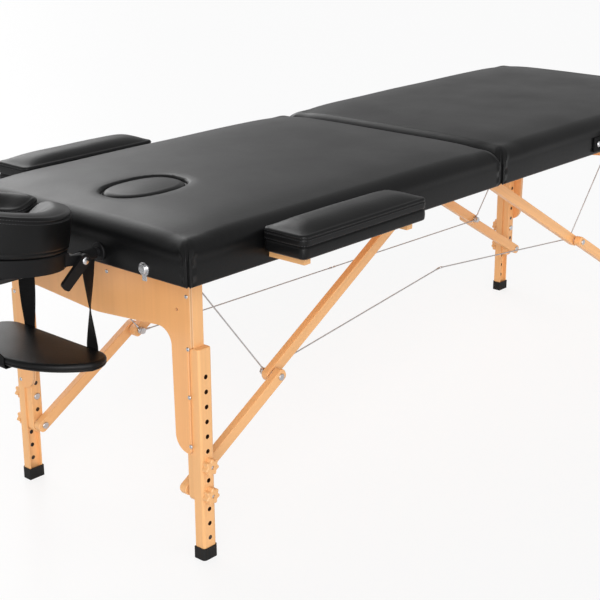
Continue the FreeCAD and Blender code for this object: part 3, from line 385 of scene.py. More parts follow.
def stranded(path, run, radius, pitch, strands):
    """Laid rope: a lobed circle, one lobe to a strand, that turns once in each pitch along the path."""
    along = unit(np.gradient(path, axis=0))
    across = unit(np.cross(along, (0.0, 1.0, 0.3)))
    upright = np.cross(along, across)
    turn = (2.0 * pi * run / pitch)[:, None]
    wide = np.cos(turn) * across + np.sin(turn) * upright
    deep = np.cos(turn) * upright - np.sin(turn) * across
    angle = cuts_round(strands * 4)[:, None]
    lobed = radius * (1.0 - lobe_share + lobe_share * np.abs(np.cos(strands * angle / 2.0)))
    return carried(path, wide, deep, lobed * np.hstack([np.cos(angle), np.sin(angle)]))


rope_radius, rope_pitch, rope_strands, rope_step = 1.5, 16.0, 6, 2.2
rope_lead, lobe_share = 12.0 * rope_radius, 0.20
rope_steel = finish("rope_steel", (0.50, 0.50, 0.51), 0.40, Metallic=0.55)[0]
rope_lanes = {"head": (181.2, 177.0), "foot": (145.2, 141.0)}
elbows = {"head": -598.66, "foot": 578.66}
pivot_level, elbow_level = 580.0, 274.25
middle_lane, middle_rise = 159.1, {"near": 65.0, "far": 0.0}
pivot_in, elbow_in, middle_in = 8.5, 7.5, 0.6
eye_radii = np.array((5.4, 5.4, 7.0, 7.6, 7.0, 5.4))
eye_heights = (0.0, -1.5, -1.5, 0.0, 1.5, 1.5)
eye_scale = {"end": 1.2, "cross": 1.0}
ferrule_radii = (1.4, 2.2, 2.2, 1.6)
first_ferrule, last_ferrule = (1.0, 2.0, 14.0, 15.0), (0.4, 0.8, 10.0, 11.0)
bolt_axis = (0.0, 1.0, 0.0)
for end, way in ends:
    for name, side in sides:
        end_lane, cross_lane = (side * lane for lane in rope_lanes[end])
        pivot = place(leg_pivots[end], end_lane, pivot_level)
        elbow = place(elbows[end], end_lane, elbow_level)
        cross = place(elbows[end], cross_lane, elbow_level)
        middle = place(0.0, side * middle_lane, elbow_level + middle_rise[name])
        runs = (("end", pivot, elbow, pivot_in, elbow_in), ("cross", cross, middle, elbow_in, middle_in))
        for kind, start, stop, start_in, stop_in in runs:
            along = unit(stop - start)
            first, last = start + along * start_in * mm, stop - along * stop_in * mm
            line = route(np.array([first, first + along * rope_lead * mm, (first + last) / 2.0, last]))
            path, run = spaced(line, rope_step * mm)
            form = stranded(path, run, rope_radius * mm, rope_pitch * mm, rope_strands)
            rope = new_piece(f"{end}_{name}_{kind}_rope", form, rope_steel, f"{end}_section")
            fittings = [turned(start, bolt_axis, eye_radii * eye_scale[kind], eye_heights)]
            fittings.append(turned(first, along, ferrule_radii, first_ferrule, small_cuts))
            if kind == "end":
                fittings.append(turned(stop, bolt_axis, eye_radii, eye_heights))
            fittings.append(turned(last, -along, ferrule_radii, last_ferrule, small_cuts))
            rope_ends = new_piece(
                f"{end}_{name}_{kind}_rope_ends", joined(fittings), steel, f"{end}_section")
            for piece in (rope, rope_ends):
                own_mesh(piece)
            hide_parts(f"{end}_cables")


# Upholstered tops
# Foam on the deck under black vinyl, drawn tight over the edges, down the rails and stapled in a hem below
# them. A sewn seam closes the cover at each upright corner, where the vinyl puckers.
def vinyl_finish(name, grain_size, strength):
    """Satin vinyl with a fine leather grain pressed into it, faint wrinkles and an uneven sheen."""
    material, tree, surface = finish(name, (0.0030, 0.0030, 0.0032), 0.36, Specular_IOR_Level=0.23)
    spot = own_spot(tree)
    pebbles = shade(tree, "ShaderNodeTexVoronoi", {"Vector": spot, "Scale": grain_size}, feature="SMOOTH_F1")
    raised = shade(tree, "ShaderNodeBump", {
        "Height": pebbles.outputs["Distance"], "Strength": strength, "Distance": 0.0004}, invert=True)
    wrinkles = noise(tree, spot, 170.0, Detail=4.0)
    wrinkled = shade(tree, "ShaderNodeBump", {
        "Height": wrinkles, "Strength": 0.13, "Distance": 0.0012, "Normal": raised.outputs["Normal"]})
    tree.links.new(wrinkled.outputs["Normal"], surface.inputs["Normal"])
    mottle = noise(tree, spot, 9.0, Detail=3.0)
    sheen = shade(tree, "ShaderNodeMapRange", {"Value": mottle, "To Min": 0.30, "To Max": 0.44})
    tree.links.new(sheen.outputs["Result"], surface.inputs["Roughness"])
    return material


def bell(distance, width, height=1.0):
    """A mound of the given height at no distance, falling away to nothing over a few widths."""
    return height * np.exp(-(distance / width) ** 2)


def swell(spots, scale=1.0):
    """Slow waves of the stuffing: the mean of three sines of X and Y, from minus one to one."""
    x, y = scale * spots[..., 0], scale * spots[..., 1]
    first, second, third = 9.1 * x + 4.0 * y + 0.7, 17.3 * y - 6.4 * x + 2.1, 23.0 * x + 11.0 * y
    return (np.sin(first) + np.sin(second) + np.sin(third)) / 3.0


def top_fall(x, y, half):
    """How far the stuffed top falls below its middle: a slight crown across, and a soft roll to each edge."""
    roll = bell(half[0] - np.abs(x), soft_end) + bell(half[1] - np.abs(y), soft_edge)
    return top_crown * (y / half[1]) ** 2 + soft_fall * np.minimum(roll, most_roll)


def cover_profile(fall):
    """Profile of the cover from the flat top to the hem: quarter circle, side, small turn and hem.

    Each point has the distance it stands out, the drop, the lean of the normal and the length up to it."""
    bend = np.linspace(0.0, pi / 2.0, 20)
    down = np.linspace(edge_round, fall - hem_round, 20)[1:-1]
    hem_edge = edge_round - hem_round
    out = np.r_[
        edge_round * np.sin(bend), np.full(down.shape, edge_round), hem_edge + hem_round * np.cos(bend),
        hem_edge - hem_width]
    drop = np.r_[
        edge_round * (1.0 - np.cos(bend)), down, fall - hem_round + hem_round * np.sin(bend), fall]
    lean = np.r_[bend, np.full(down.shape, pi / 2.0), pi / 2.0 + bend, pi]
    return out, drop, lean, np.r_[0.0, np.cumsum(np.hypot(np.diff(out), np.diff(drop)))]


def cover_lines(flat, band, hole):
    """Grid lines of the cover in X and in Y: coarse on the flat top, fine past its edges and at the hole."""
    lines = []
    for axis, reach in enumerate(flat):
        level = np.linspace(-reach, reach, int(2.0 * reach / cover_step))
        line = np.r_[-(reach + band[::-1]), level, reach + band]
        if hole is not None:
            edge = hole[1][axis] + hole_margin
            close = hole[0][axis] + np.arange(-edge, edge, hole_fine)
            line = np.sort(np.r_[line[(line < close[0]) | (line > close[-1])], close])
        lines.append(line)
    return lines


def opened(points, faces, hole, above):
    """The cover with an oval hole in its top: faces inside the oval go, the points next to them move out to
    it, and the vinyl rolls down into it by a quarter circle, in a shallow dip."""
    centre, reach = hole
    off = points[:, :2] - centre[:2]
    ring = ((np.abs(off) / reach) ** (2.0 / oval_power)).sum(axis=1) ** (oval_power / 2.0)
    upper = points[:, 2] > above
    cut = (upper & (ring < 1.0))[faces].any(axis=1)
    rim = np.intersect1d(faces[cut], faces[~cut])
    points[rim, :2] = centre[:2] + off[rim] / ring[rim, None]
    ring[rim] = 1.0
    away = np.linalg.norm(off, axis=1) * (1.0 - 1.0 / np.maximum(ring, 1.0))
    bent = np.clip(lip_roll - away, 0.0, lip_roll)
    points[:, 2] -= upper * (lip_roll - np.sqrt(lip_roll ** 2 - bent ** 2))
    points[:, 2] -= upper * bell(away, *lip_dip)
    return points, faces[~cut]


def section_cover(low, high, hole):
    """Cover of one section on a grid that is unrolled over the top, the edges, the sides and the hem.

    The distance past the flat top runs along the profile. Each ring of it is a rectangle with corners that
    are round at the top and tight at the sides. Waves, seams and puckers move it along its normals."""
    half, middle = (high - low) / 2.0, (high + low) / 2.0
    fall = high[2] - low[2]
    out, drop, lean, run = cover_profile(fall)
    band = np.linspace(0.0, run[-1], int(run[-1] / cover_fine) + 1)[1:]
    flat = half[:2] - edge_round
    own_hole = None if hole is None else (hole[0] - middle, hole[1])
    x, y = np.meshgrid(*cover_lines(flat, band, own_hole), indexing="ij")
    past_x, past_y = np.maximum(np.abs(x) - flat[0], 0.0), np.maximum(np.abs(y) - flat[1], 0.0)
    past, least = np.maximum(past_x, past_y), np.minimum(past_x, past_y)
    share = least / np.maximum(past, 1e-9)
    angle = pi / 4.0 * np.where(past_x >= past_y, share, 2.0 - share)
    out, drop, lean = (np.interp(past, run, table) for table in (out, drop, lean))
    rolled = np.clip(drop / edge_round, 0.0, 1.0)
    corner = np.maximum(out - (edge_round - corner_round) * rolled ** corner_power, corner_least * out)
    flat_x, flat_y = np.minimum(np.abs(x), flat[0]), np.minimum(np.abs(y), flat[1])
    px = np.sign(x) * (flat_x * (flat[0] + out - corner) / flat[0] + corner * np.cos(angle))
    py = np.sign(y) * (flat_y * (flat[1] + out - corner) / flat[1] + corner * np.sin(angle))
    side_share = np.clip((drop - edge_round) / (fall - edge_round), 0.0, 1.0)
    off_seam = corner * np.abs(angle - pi / 4.0) + np.where(least > 0.0, 0.0, 1.0)
    sewn = np.clip(seam_rate * rolled - seam_start, 0.0, 1.0)
    move = wave_height * swell(np.stack([px, py], -1)) * (1.0 - side_share)
    move += side_bulge * np.sin(pi * side_share)
    move -= bell(drop - foam_depth, *deck_line)
    move -= bell(off_seam, *seam) * sewn
    move += bell(off_seam - ridge_off, *ridge) * sewn
    move += bell(off_seam - pucker_off, *pucker) * sewn * np.sin(drop / pucker_pitch)
    move += bell(off_seam - shoulder_off, *shoulder) * bell(drop - edge_round, shoulder_off)
    slant = (px - py * np.sign(x) * np.sign(y)) / pleat_pitch
    to_corner = np.hypot(flat[0] - np.abs(px), flat[1] - np.abs(py))
    move += bell(to_corner, *pleat) * np.sin(slant) * np.sin(pi * rolled)
    pz = half[2] - drop - top_fall(px, py, half) * (1.0 - drop / fall)
    normal = np.stack(
        [np.sin(lean) * np.cos(angle) * np.sign(x), np.sin(lean) * np.sin(angle) * np.sign(y),
        np.cos(lean)], -1)
    normal[past == 0.0] = (0.0, 0.0, 1.0)
    points = (middle + np.stack([px, py, pz], -1) + normal * move[..., None]).reshape(-1, 3)
    faces = grid_faces(*x.shape)
    return (points, faces) if hole is None else opened(points, faces, hole, middle[2])


edge_round, corner_round, hem_round, hem_width, hem_drop = np.array((32.0, 10.0, 3.0, 14.0, 0.4)) * mm
top_fill, top_crown, foam_depth = 4.0 * mm, 3.0 * mm, 39.0 * mm
soft_end, soft_edge, soft_fall, most_roll = 84.0 * mm, 62.0 * mm, 7.0 * mm, 1.4
corner_power, corner_least, seam_rate, seam_start = 1.5, 0.15, 3.0, 0.45
wave_height, side_bulge = 0.8 * mm, 1.4 * mm
# Width and height of each small form of the cover, then where it lies off the corner seam.
deck_line, seam, ridge = np.array(((4.0, 0.25), (1.3, 2.0), (1.6, 1.1))) * mm
pucker, shoulder, pleat, lip_dip = np.array(((6.0, 0.6), (8.0, 2.4), (75.0, 0.35), (15.0, 1.8))) * mm
ridge_off, pucker_off, shoulder_off = 3.4 * mm, 7.0 * mm, 12.0 * mm
pucker_pitch, pleat_pitch = 5.2 * mm, 3.4 * mm
cover_step, cover_fine, cover_thickness = 10.0 * mm, 3.0 * mm, 1.2 * mm
hole_centre, hole_reach, oval_power = place(-731.0, 2.0, 642.0), np.array((87.0, 60.0)) * mm, 0.84
hole_fine, hole_margin, lip_roll = 3.2 * mm, 26.0 * mm, 8.0 * mm
vinyl = vinyl_finish("black_vinyl", 620.0, 0.22)
for end, way in ends:
    pad_low, pad_high = np.array(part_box(f"{end}_cushion"))
    pad_low[2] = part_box(f"{end}_side_band")[0].z - hem_drop
    pad_high[2] += top_fill
    opening = (hole_centre, hole_reach) if end == "head" else None
    cover = new_piece(
        f"{end}_cover", section_cover(pad_low, pad_high, opening), vinyl, f"{end}_section")
    skin = cover.modifiers.new("vinyl", "SOLIDIFY")
    skin.thickness = cover_thickness
    skin.offset = -1.0
    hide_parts(f"{end}_cushion", f"{end}_side_band")


# Wall of the face opening
# The vinyl is turned in round the oval opening, falls down its wall and is stapled under the deck.
def facing_at(angle):
    """Flat directions at the given angles from X."""
    return np.stack([np.cos(angle), np.sin(angle)], -1)


def oval_spokes(cuts):
    """Spokes of a full oval: the cosine and sine of each angle, raised to a power below one, signs kept."""
    spokes = facing_at(cuts_round(cuts))
    return np.sign(spokes) * np.abs(spokes) ** oval_power


def layered(flat, heights):
    """Rings of flat points with a height to each ring, as points in space."""
    heights = np.broadcast_to(np.array(heights)[:, None, None], (*flat.shape[:2], 1))
    return np.concatenate([flat, heights], -1)


def oval_wall(centre, reach, insets, levels, cuts=120):
    """A closed profile carried round an oval: each of its points stands out from the oval, at its height."""
    flat = centre[:2] + (reach + np.array(insets)[:, None, None]) * oval_spokes(cuts)
    return ringed(layered(flat, levels))


wall_insets = np.array((0.0, 0.0, 2.0, 2.0, 0.0)) * mm
wall_levels = np.array((638.0, 600.0, 600.0, 636.0, 638.0)) * mm
opening_wall = new_piece(
    "face_opening_wall", oval_wall(hole_centre, hole_reach, wall_insets, wall_levels), vinyl,
    "head_section")


# Face plug
# Foam block under vinyl that closes the face opening. It lies flush with the top, and its edge rolls down
# into the opening.
def oval_block(centre, reach, draws, levels, cuts=120):
    """A block on an oval: each ring is the oval drawn in by its own amount, evenly near the rim and towards
    the middle line further in, at its own height."""
    spokes = oval_spokes(cuts)
    deep = np.clip((draws - rim_share * reach[1]) / (reach[1] * (1.0 - rim_share)), 0.0, 1.0)
    long = reach[0] - draws - (reach[0] - reach[1]) * deep ** 1.5
    wide = reach[1] - draws
    flat = np.stack([long[:, None] * spokes[:, 0], wide[:, None] * spokes[:, 1]], -1) + centre[:2]
    return ringed(layered(flat, levels))


plug_gap, plug_round, plug_crown, rim_share = 0.8, 15.0, 3.2, 0.16
plug_foot, plug_waist, plug_brow, plug_top = 606.0, 620.0, 632.0, 644.5
plug_reach = hole_reach - plug_gap * mm
plug_radius = plug_reach[1] / mm
plug_roll = np.linspace(0.0, pi / 2.0, 12)
plug_inward = np.linspace(0.0, 1.0, 18)[1:]
plug_draws = np.r_[
    [plug_radius, 1.0, 0.2, 0.0], plug_round - plug_round * np.cos(plug_roll),
    plug_round + plug_inward * (plug_radius - plug_round)]
plug_levels = np.r_[
    [plug_foot, plug_foot, plug_foot + 2.0, plug_waist],
    plug_brow + (plug_top - plug_brow) * np.sin(plug_roll),
    plug_top + plug_crown * np.sin(plug_inward * pi / 2.0)]
plug = new_piece(
    "face_plug_pad", oval_block(hole_centre, plug_reach, plug_draws * mm, plug_levels * mm), vinyl,
    "face_plug")
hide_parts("face_plug")


# Side armrests
# Two stuffed layers of vinyl-covered foam, sewn together round their middle, on two beech bars that slide in
# the rails.
def rounded_outline(half_long, half_wide, radius, step):
    """A rounded rectangle as points and outward directions: quarter circles joined by evenly cut edges."""
    points, outs = [], []
    quarter = np.linspace(0.0, pi / 2.0, max(int(radius * pi / 2.0 / step), 4))
    for turn, sx, sy in ((0, 1, 1), (1, -1, 1), (2, -1, -1), (3, 1, -1)):
        out = facing_at(quarter + turn * pi / 2.0)
        corner = np.array((sx * (half_long - radius), sy * (half_wide - radius))) + radius * out
        edge = 2.0 * ((half_long if turn % 2 == 0 else half_wide) - radius)
        ahead = np.stack([-out[-1, 1], out[-1, 0]])
        steps = np.linspace(0.0, edge, max(int(edge / step), 2))[1:-1, None]
        points += [corner, corner[-1] + steps * ahead]
        outs += [out, np.broadcast_to(out[-1], (len(steps), 2))]
    return np.concatenate(points), np.concatenate(outs)


def pad_profile(thick, top_round, foot_round, crown, rings):
    """Profile of a pad from the middle of its underside to the middle of its top: flat, foot round, side, top
    round and crown. Each point has its inset from the outline, the share left of the inset outline, and its
    height."""
    foot, brow = np.linspace(-pi / 2.0, 0.0, 7), np.linspace(0.0, pi / 2.0, 11)
    inner = np.linspace(0.0, 1.0, rings)
    side = np.linspace(foot_round, thick - crown - top_round, 44)[1:-1]
    inset = np.r_[
        np.full(rings - 1, foot_round), foot_round * (1.0 - np.cos(foot)), np.zeros(side.shape),
        top_round * (1.0 - np.cos(brow)), np.full(rings - 1, top_round)]
    left = np.r_[inner[:-1], np.ones(len(foot) + len(side) + len(brow)), inner[-2::-1]]
    height = np.r_[
        np.zeros(rings - 1), foot_round * (1.0 + np.sin(foot)), side,
        thick - crown - top_round * (1.0 - np.sin(brow)), thick - crown * inner[-2::-1] ** 3]
    return inset, left, height


def pad_form(outline, outs, inset, left, height):
    """A pad on an outline: each ring of the profile is the outline drawn in along its own directions by the
    inset, then drawn in to the middle by the share left, at its height."""
    return layered((outline[None] - outs[None] * inset[:, None, None]) * left[:, None, None], height)


def stitched(points, ahead, out, length, radius):
    """A row of stitches: each is a short round thread, thin at both ends, along its own direction."""
    turn = cuts_round(6)
    ahead, out = unit(ahead), unit(out)
    side = np.cross(ahead, out)
    spoke = np.cos(turn)[:, None] * out[:, None] + np.sin(turn)[:, None] * side[:, None]
    steps, widths = np.array((-0.5, -0.3, 0.3, 0.5)) * length, np.array((0.0, 1.0, 1.0, 0.0)) * radius
    middles = points[:, None, None] + steps[:, None, None] * ahead[:, None, None]
    rings = middles + widths[:, None, None] * spoke[:, None]
    faces = grid_faces(len(steps), len(turn), around=True)
    starts = np.arange(len(points))[:, None, None] * len(steps) * len(turn)
    return rings.reshape(-1, 3), (faces + starts).reshape(-1, 4)


def stitch_row(line, out):
    """Stitches along a closed line of points, one to each pitch, with the line's flat outward directions."""
    out = np.c_[out, np.zeros(len(out))]
    loop, outs = np.r_[line, line[:1]], np.r_[out, out[:1]]
    run = lengths_along(loop)
    at = np.linspace(0.0, run[-1], int(run[-1] / stitch_pitch), endpoint=False)
    spots = read_along(at, run, loop)
    ahead = read_along((at + 0.1 * stitch_pitch) % run[-1], run, loop) - spots
    return stitched(spots, ahead, read_along(at, run, outs), stitch_length, thread_radius)


thread = finish("black_thread", (0.06, 0.06, 0.063), 0.5, Specular_IOR_Level=0.3)[0]
stitch_pitch, stitch_length, thread_radius = 5.0 * mm, 3.4 * mm, 0.32 * mm
rest_draw, rest_corner, rest_step, rest_rings = 10.0 * mm, 11.0 * mm, 3.0 * mm, 20
rest_brow, rest_sole, rest_crown = 4.0 * mm, 4.0 * mm, 13.0 * mm
rest_rise = {"near": 13.0 * mm, "far": 20.0 * mm}
rest_shift = {"near": 0.0, "far": -16.0 * mm}
middle_seam, welt = np.array(((1.3, 2.4), (1.0, 1.2))) * mm
layer_bulge, welt_drop = 1.2 * mm, 7.0 * mm
welt_stitch, seam_stitch = 2.6 * mm, 3.4 * mm
crown_long, crown_wide, rest_wave, rest_wave_scale = 7, 2.6, 0.7 * mm, 2.2
for name, side in sides:
    rest_low, rest_high = np.array(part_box(f"{name}_armrest_pad"))
    rest_half = (rest_high[:2] - rest_low[:2]) / 2.0 - np.array((rest_draw, 0.0))
    outline, outs = rounded_outline(*rest_half, rest_corner, rest_step)
    thick = rest_high[2] - rest_low[2] + rest_rise[name]
    side_top = thick - rest_crown
    inset, left, height = pad_profile(thick, rest_brow, rest_sole, rest_crown, rest_rings)
    seam_level, welt_level = 0.5 * side_top, side_top - welt_drop
    drawn = bell(height - seam_level, *middle_seam) + bell(height - welt_level, *welt)
    drawn -= layer_bulge * np.abs(np.sin(pi * (height - seam_level) / seam_level))
    inset = inset + (left == 1.0) * drawn
    points = pad_form(outline, outs, inset, left, height)
    rest_foot = np.append((rest_low[:2] + rest_high[:2]) / 2.0, rest_low[2])
    rest_foot[0] += rest_shift[name]
    points += rest_foot
    upper = (height >= side_top) & (left < 1.0)
    aside = np.minimum(np.abs(points[upper, :, :2] - rest_foot[:2]) / (rest_half - rest_brow), 1.0)
    crown = (1.0 - aside[..., 0] ** crown_long) * (1.0 - aside[..., 1] ** crown_wide)
    crown *= rest_crown + rest_wave * swell(points[upper], rest_wave_scale)
    points[upper, :, 2] = rest_foot[2] + side_top + crown
    pad = new_piece(f"{name}_armrest_cushion", ringed(points), vinyl, f"{name}_armrest")
    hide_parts(f"{name}_armrest_pad")
    rows = []
    for row_level in (welt_level - welt_stitch, welt_level + welt_stitch, seam_level + seam_stitch):
        draw = np.interp(row_level, height[left == 1.0], inset[left == 1.0])
        rows.append(
            stitch_row(np.c_[outline - outs * draw, np.full(len(outline), row_level)] + rest_foot, outs))
    new_piece(f"{name}_armrest_stitches", joined(rows), thread, f"{name}_armrest")
    dress(beech_across, f"{name}_armrest_bars")

# Cradle frame
# Bent steel tube, painted black, pushed into two moulded sockets in the head end. The tilt rod crosses it,
# and a moulded dish on two brackets rides on the rod and is held by a flat clamp lever.
black_tube = finish("black_tube", (0.012, 0.012, 0.013), 0.30, Specular_IOR_Level=0.4)[0]
moulding, mould_tree, mould_surface = finish(
    "black_moulding", (0.006, 0.006, 0.0065), 0.46, Specular_IOR_Level=0.18)
mould_grain = noise(mould_tree, own_spot(mould_tree), 900.0)
mould_bump = shade(
    mould_tree, "ShaderNodeBump", {"Height": mould_grain, "Strength": 0.15, "Distance": 0.0003})
mould_tree.links.new(mould_bump.outputs["Normal"], mould_surface.inputs["Normal"])
dress(black_tube, "headrest_frame")
dress(moulding, "headrest_sockets", "cradle_platform", "cam_lever")
tilt_x, tube_level, lever_lane = -978.0, 578.0, -115.5
rivet_radii, rivet_heights = (0.0, 7.0, 7.0, 6.0, 3.6, 0.0), (-0.5, -0.5, 0.8, 1.8, 2.6, 2.9)
rivet = turned(place(tilt_x, lever_lane, tube_level), (0.0, -1.0, 0.0), rivet_radii, rivet_heights)
new_piece("lever_rivet", rivet, steel, "headrest")


# Padded face ring
# Foam ring under vinyl, open towards the table, held to the dish by a loop pile on its flat underside.
# Its top is sewn to its wall with a double row of stitches, and it is set eight degrees up.
def bent_outline(radius, half_gap, half_width, step):
    """Outline of a bar bent round an arc, as points of the arc and outward directions: outside of the arc,
    round one end, inside of the arc, round the other."""
    sweep = pi - half_gap
    outer = np.linspace(-sweep, sweep, int(2.0 * sweep * (radius + half_width) / step))
    cap = np.linspace(0.0, pi, int(half_width * pi / step))[1:-1]
    places = np.r_[outer, np.full(cap.shape, sweep), outer[::-1], np.full(cap.shape, -sweep)]
    facing = np.r_[outer, sweep + cap, outer[::-1] + pi, -sweep + pi + cap]
    return radius * facing_at(pi - places), facing_at(pi - facing)


def smooth(share):
    """Zero to one with a soft start and a soft stop, by three times the square less twice the cube."""
    return share * share * (3.0 - 2.0 * share)


def set_up(points):
    """The ring's points as it is set: the foam is a wedge, higher away from the table, lower at the cheeks by
    the cosine of twice the angle round it, and it slopes to the opening. All is tilted about the rod."""
    turn = np.arctan2(points[..., 1], points[..., 0])
    from_middle = np.hypot(points[..., 0], points[..., 1])
    inward = np.clip((scoop_start + ring_radius - from_middle) / scoop_width, 0.0, 1.0)
    rise = (ring_rear - points[..., 0]) * math.tan(ring_wedge) + ring_saddle * np.cos(2.0 * turn)
    rise -= ring_scoop * smooth(inward)
    points = points + place(ring_middle, 0.0, ring_level)
    points[..., 2] += rise * (points[..., 2] - ring_level * mm) / ring_tall
    dx, dz = points[..., 0] - tilt_rod[0], points[..., 2] - tilt_rod[2]
    points[..., 0] = tilt_rod[0] + dx * math.cos(ring_tilt) + dz * math.sin(ring_tilt)
    points[..., 2] = tilt_rod[2] + dz * math.cos(ring_tilt) - dx * math.sin(ring_tilt)
    return points


ring_radius, ring_half, ring_tall, ring_gap = 102.0 * mm, 36.0 * mm, 72.0 * mm, math.radians(26.0)
ring_middle, ring_level, ring_rear = -1100.0, 596.0, 100.0 * mm
ring_tilt, ring_wedge, ring_saddle = math.radians(8.0), math.radians(3.0), 4.0 * mm
ring_scoop, scoop_start, scoop_width = 22.0 * mm, 10.0 * mm, 46.0 * mm
ring_brow, ring_sole, ring_crown, ring_rings, ring_step = 6.0 * mm, 7.0 * mm, 4.0 * mm, 12, 3.5 * mm
top_level, low_level = ring_tall - 12.0 * mm, 9.0 * mm
top_seam, low_seam = np.array(((1.1, 1.3), (1.3, 1.2))) * mm
ring_bulge, ring_wave, ring_wave_scale, ring_stitch = 1.6 * mm, 1.2 * mm, 3.0, 2.8 * mm
upper_share = 0.8
tilt_rod = place(tilt_x, 0.0, tube_level)
arc, outs = bent_outline(ring_radius, ring_gap, ring_half, ring_step)
inset, left, height = pad_profile(ring_tall, ring_brow, ring_sole, ring_crown, ring_rings)
drawn = bell(height - top_level, *top_seam) + bell(height - low_level, *low_seam)
drawn -= ring_bulge * np.sin(pi * np.clip(height / ring_tall, 0.0, 1.0))
inset = inset + (left == 1.0) * drawn
flat = arc[None] + outs[None] * ((ring_half - inset) * left)[:, None, None]
points = layered(flat, height)
points[..., 2] += ring_wave * swell(flat, ring_wave_scale) * (height > upper_share * ring_tall)[:, None]
points = set_up(points)
face_ring = new_piece("face_ring", ringed(points), vinyl, "cradle")
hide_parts("face_cushion")
rows = []
for row_level in (top_level - ring_stitch, top_level + ring_stitch):
    draw = np.interp(row_level, height[left == 1.0], inset[left == 1.0])
    line = set_up(np.c_[arc + outs * (ring_half - draw), np.full(len(arc), row_level)])
    rows.append(stitch_row(line, outs))
new_piece("face_ring_stitches", joined(rows), thread, "cradle")


# Hanging arm shelf
# Thin padded board under vinyl, straight towards the table and bowed away from it, with a sewn edge.
def shelf_outline(half_width, depth, shoulder, radius, step):
    """D shape as points and outward directions: a wide bow away from the table, two short straight shoulders,
    two rounded corners and the straight edge at X = 0."""
    rise = depth - shoulder
    bow = (half_width ** 2 + rise ** 2) / (2.0 * rise)
    half_turn = math.asin(half_width / bow)
    swing = np.linspace(-half_turn, half_turn, int(2.0 * half_turn * bow / step))
    bow_out = facing_at(pi - swing)
    bow_points = np.array((-depth + bow, 0.0)) + bow * bow_out
    quarter = np.linspace(0.0, pi / 2.0, int(radius * pi / 2.0 / step))
    turn_out = facing_at(pi / 2.0 - quarter)
    far = np.array((-radius, half_width - radius)) + radius * turn_out
    steps = np.linspace(half_width - radius, radius - half_width, int(2.0 * half_width / step))[1:-1]
    straight = np.c_[np.zeros(steps.shape), steps]
    straight_out = np.broadcast_to((1.0, 0.0), straight.shape)
    mirror = np.array((1.0, -1.0))
    points = np.r_[bow_points, far, straight, far[::-1] * mirror]
    return points, np.r_[bow_out, turn_out, straight_out, turn_out[::-1] * mirror]


shelf_back, shelf_top, shelf_thick = -954.0, 407.0, 17.0
shelf_wide, shelf_depth, shelf_shoulder, shelf_corner = 153.5, 136.5, 52.0, 40.0
shelf_brow, shelf_sole, shelf_crown, shelf_rings, shelf_step = 6.0 * mm, 4.0 * mm, 1.5 * mm, 14, 3.5 * mm
edge_level, edge_seam = 6.0 * mm, np.array((0.9, 1.2)) * mm
shelf_bulge, shelf_wave, shelf_wave_scale = 0.8 * mm, 0.6 * mm, 2.0
shelf_foot = shelf_top - shelf_thick
shelf_middle = np.array((-65.0 * mm, 0.0))
outline, outs = shelf_outline(
    shelf_wide * mm, shelf_depth * mm, shelf_shoulder * mm, shelf_corner * mm, shelf_step)
inset, left, height = pad_profile(shelf_thick * mm, shelf_brow, shelf_sole, shelf_crown, shelf_rings)
drawn = bell(height - edge_level, *edge_seam) - shelf_bulge * np.sin(pi * height / (shelf_thick * mm))
inset = inset + (left == 1.0) * drawn
points = pad_form(outline - shelf_middle, outs, inset, left, height)
points += np.append(shelf_middle, 0.0) + place(shelf_back, 0.0, shelf_foot)
on_top = (height > upper_share * shelf_thick * mm)[:, None]
points[..., 2] += shelf_wave * swell(points, shelf_wave_scale) * on_top
shelf = new_piece("arm_shelf_pad", ringed(points), vinyl, "headrest")
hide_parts("arm_shelf")


# Shelf slings
# Flat woven webbing, thirty millimetres wide, looped round the cradle's tube and passed under the shelf.
# Two come down behind the shelf, each turned a quarter of the way round, and meet one in front of it.
def ribbon(path, wide, profile):
    """Flat strap along a path: its width direction is given, and its depth is square to it and the path."""
    along = unit(np.gradient(path, axis=0))
    wide = unit(np.broadcast_to(wide, path.shape))
    return carried(path, wide, unit(np.cross(along, wide)), profile)


def walk(stations, counts):
    """Points along straight lines from station to station, so many to each line."""
    shares = np.concatenate(
        [index + np.linspace(0.0, 1.0, count, endpoint=False) for index, count in enumerate(counts)]
        + [[len(counts)]])
    return read_along(shares, np.arange(len(stations)), np.array(stations, float))


def strap_profile(width, thick):
    """Section of flat webbing: a rectangle with eased edges, in metres."""
    half, deep = width / 2.0, thick / 2.0
    across = np.array((-1.0, -0.97, -0.9, 0.0, 0.9, 0.97, 1.0)) * half
    upper = np.array((0.5, 1.0, 1.0, 1.0, 1.0, 1.0, 0.5)) * deep
    return np.r_[np.c_[across, -upper], np.c_[across[::-1], upper]]


webbing, web_tree, web_surface = finish(
    "black_webbing", (0.0045, 0.0045, 0.0048), 0.7, Specular_IOR_Level=0.15)
web_weave = shade(web_tree, "ShaderNodeTexWave", {
    "Vector": own_spot(web_tree), "Scale": 150.0, "Distortion": 1.0}, bands_direction="DIAGONAL")
web_bump = shade(
    web_tree, "ShaderNodeBump", {"Height": web_weave.outputs["Fac"], "Strength": 0.4, "Distance": 0.0005})
web_tree.links.new(web_bump.outputs["Normal"], web_surface.inputs["Normal"])
webbing_profile = strap_profile(30.0 * mm, 2.0 * mm)
loop_radius, loop_turn = 9.4 * mm, np.linspace(0.0, 2.0 * pi, 33)[:, None]
strap_gap, tube_lane, tube_foot, twist_start = 1.3, 90.0, 569.0, 563.0
back_x, front_x, tube_front = shelf_back + strap_gap, shelf_back - shelf_depth - strap_gap, -1220.0
twist_stop, turn_under, layer_step = shelf_top + 2.0, shelf_foot + 2.6, 2.2
layers = {"near": shelf_foot - 1.4, "far": shelf_foot - 1.4 - layer_step}
lowest_layer = layers["far"] - layer_step
edge_in, edge_down, bend_in, lap, tail = 1.2, 0.2, 4.0, 12.0, 40.0
ahead, across, up = np.eye(3)
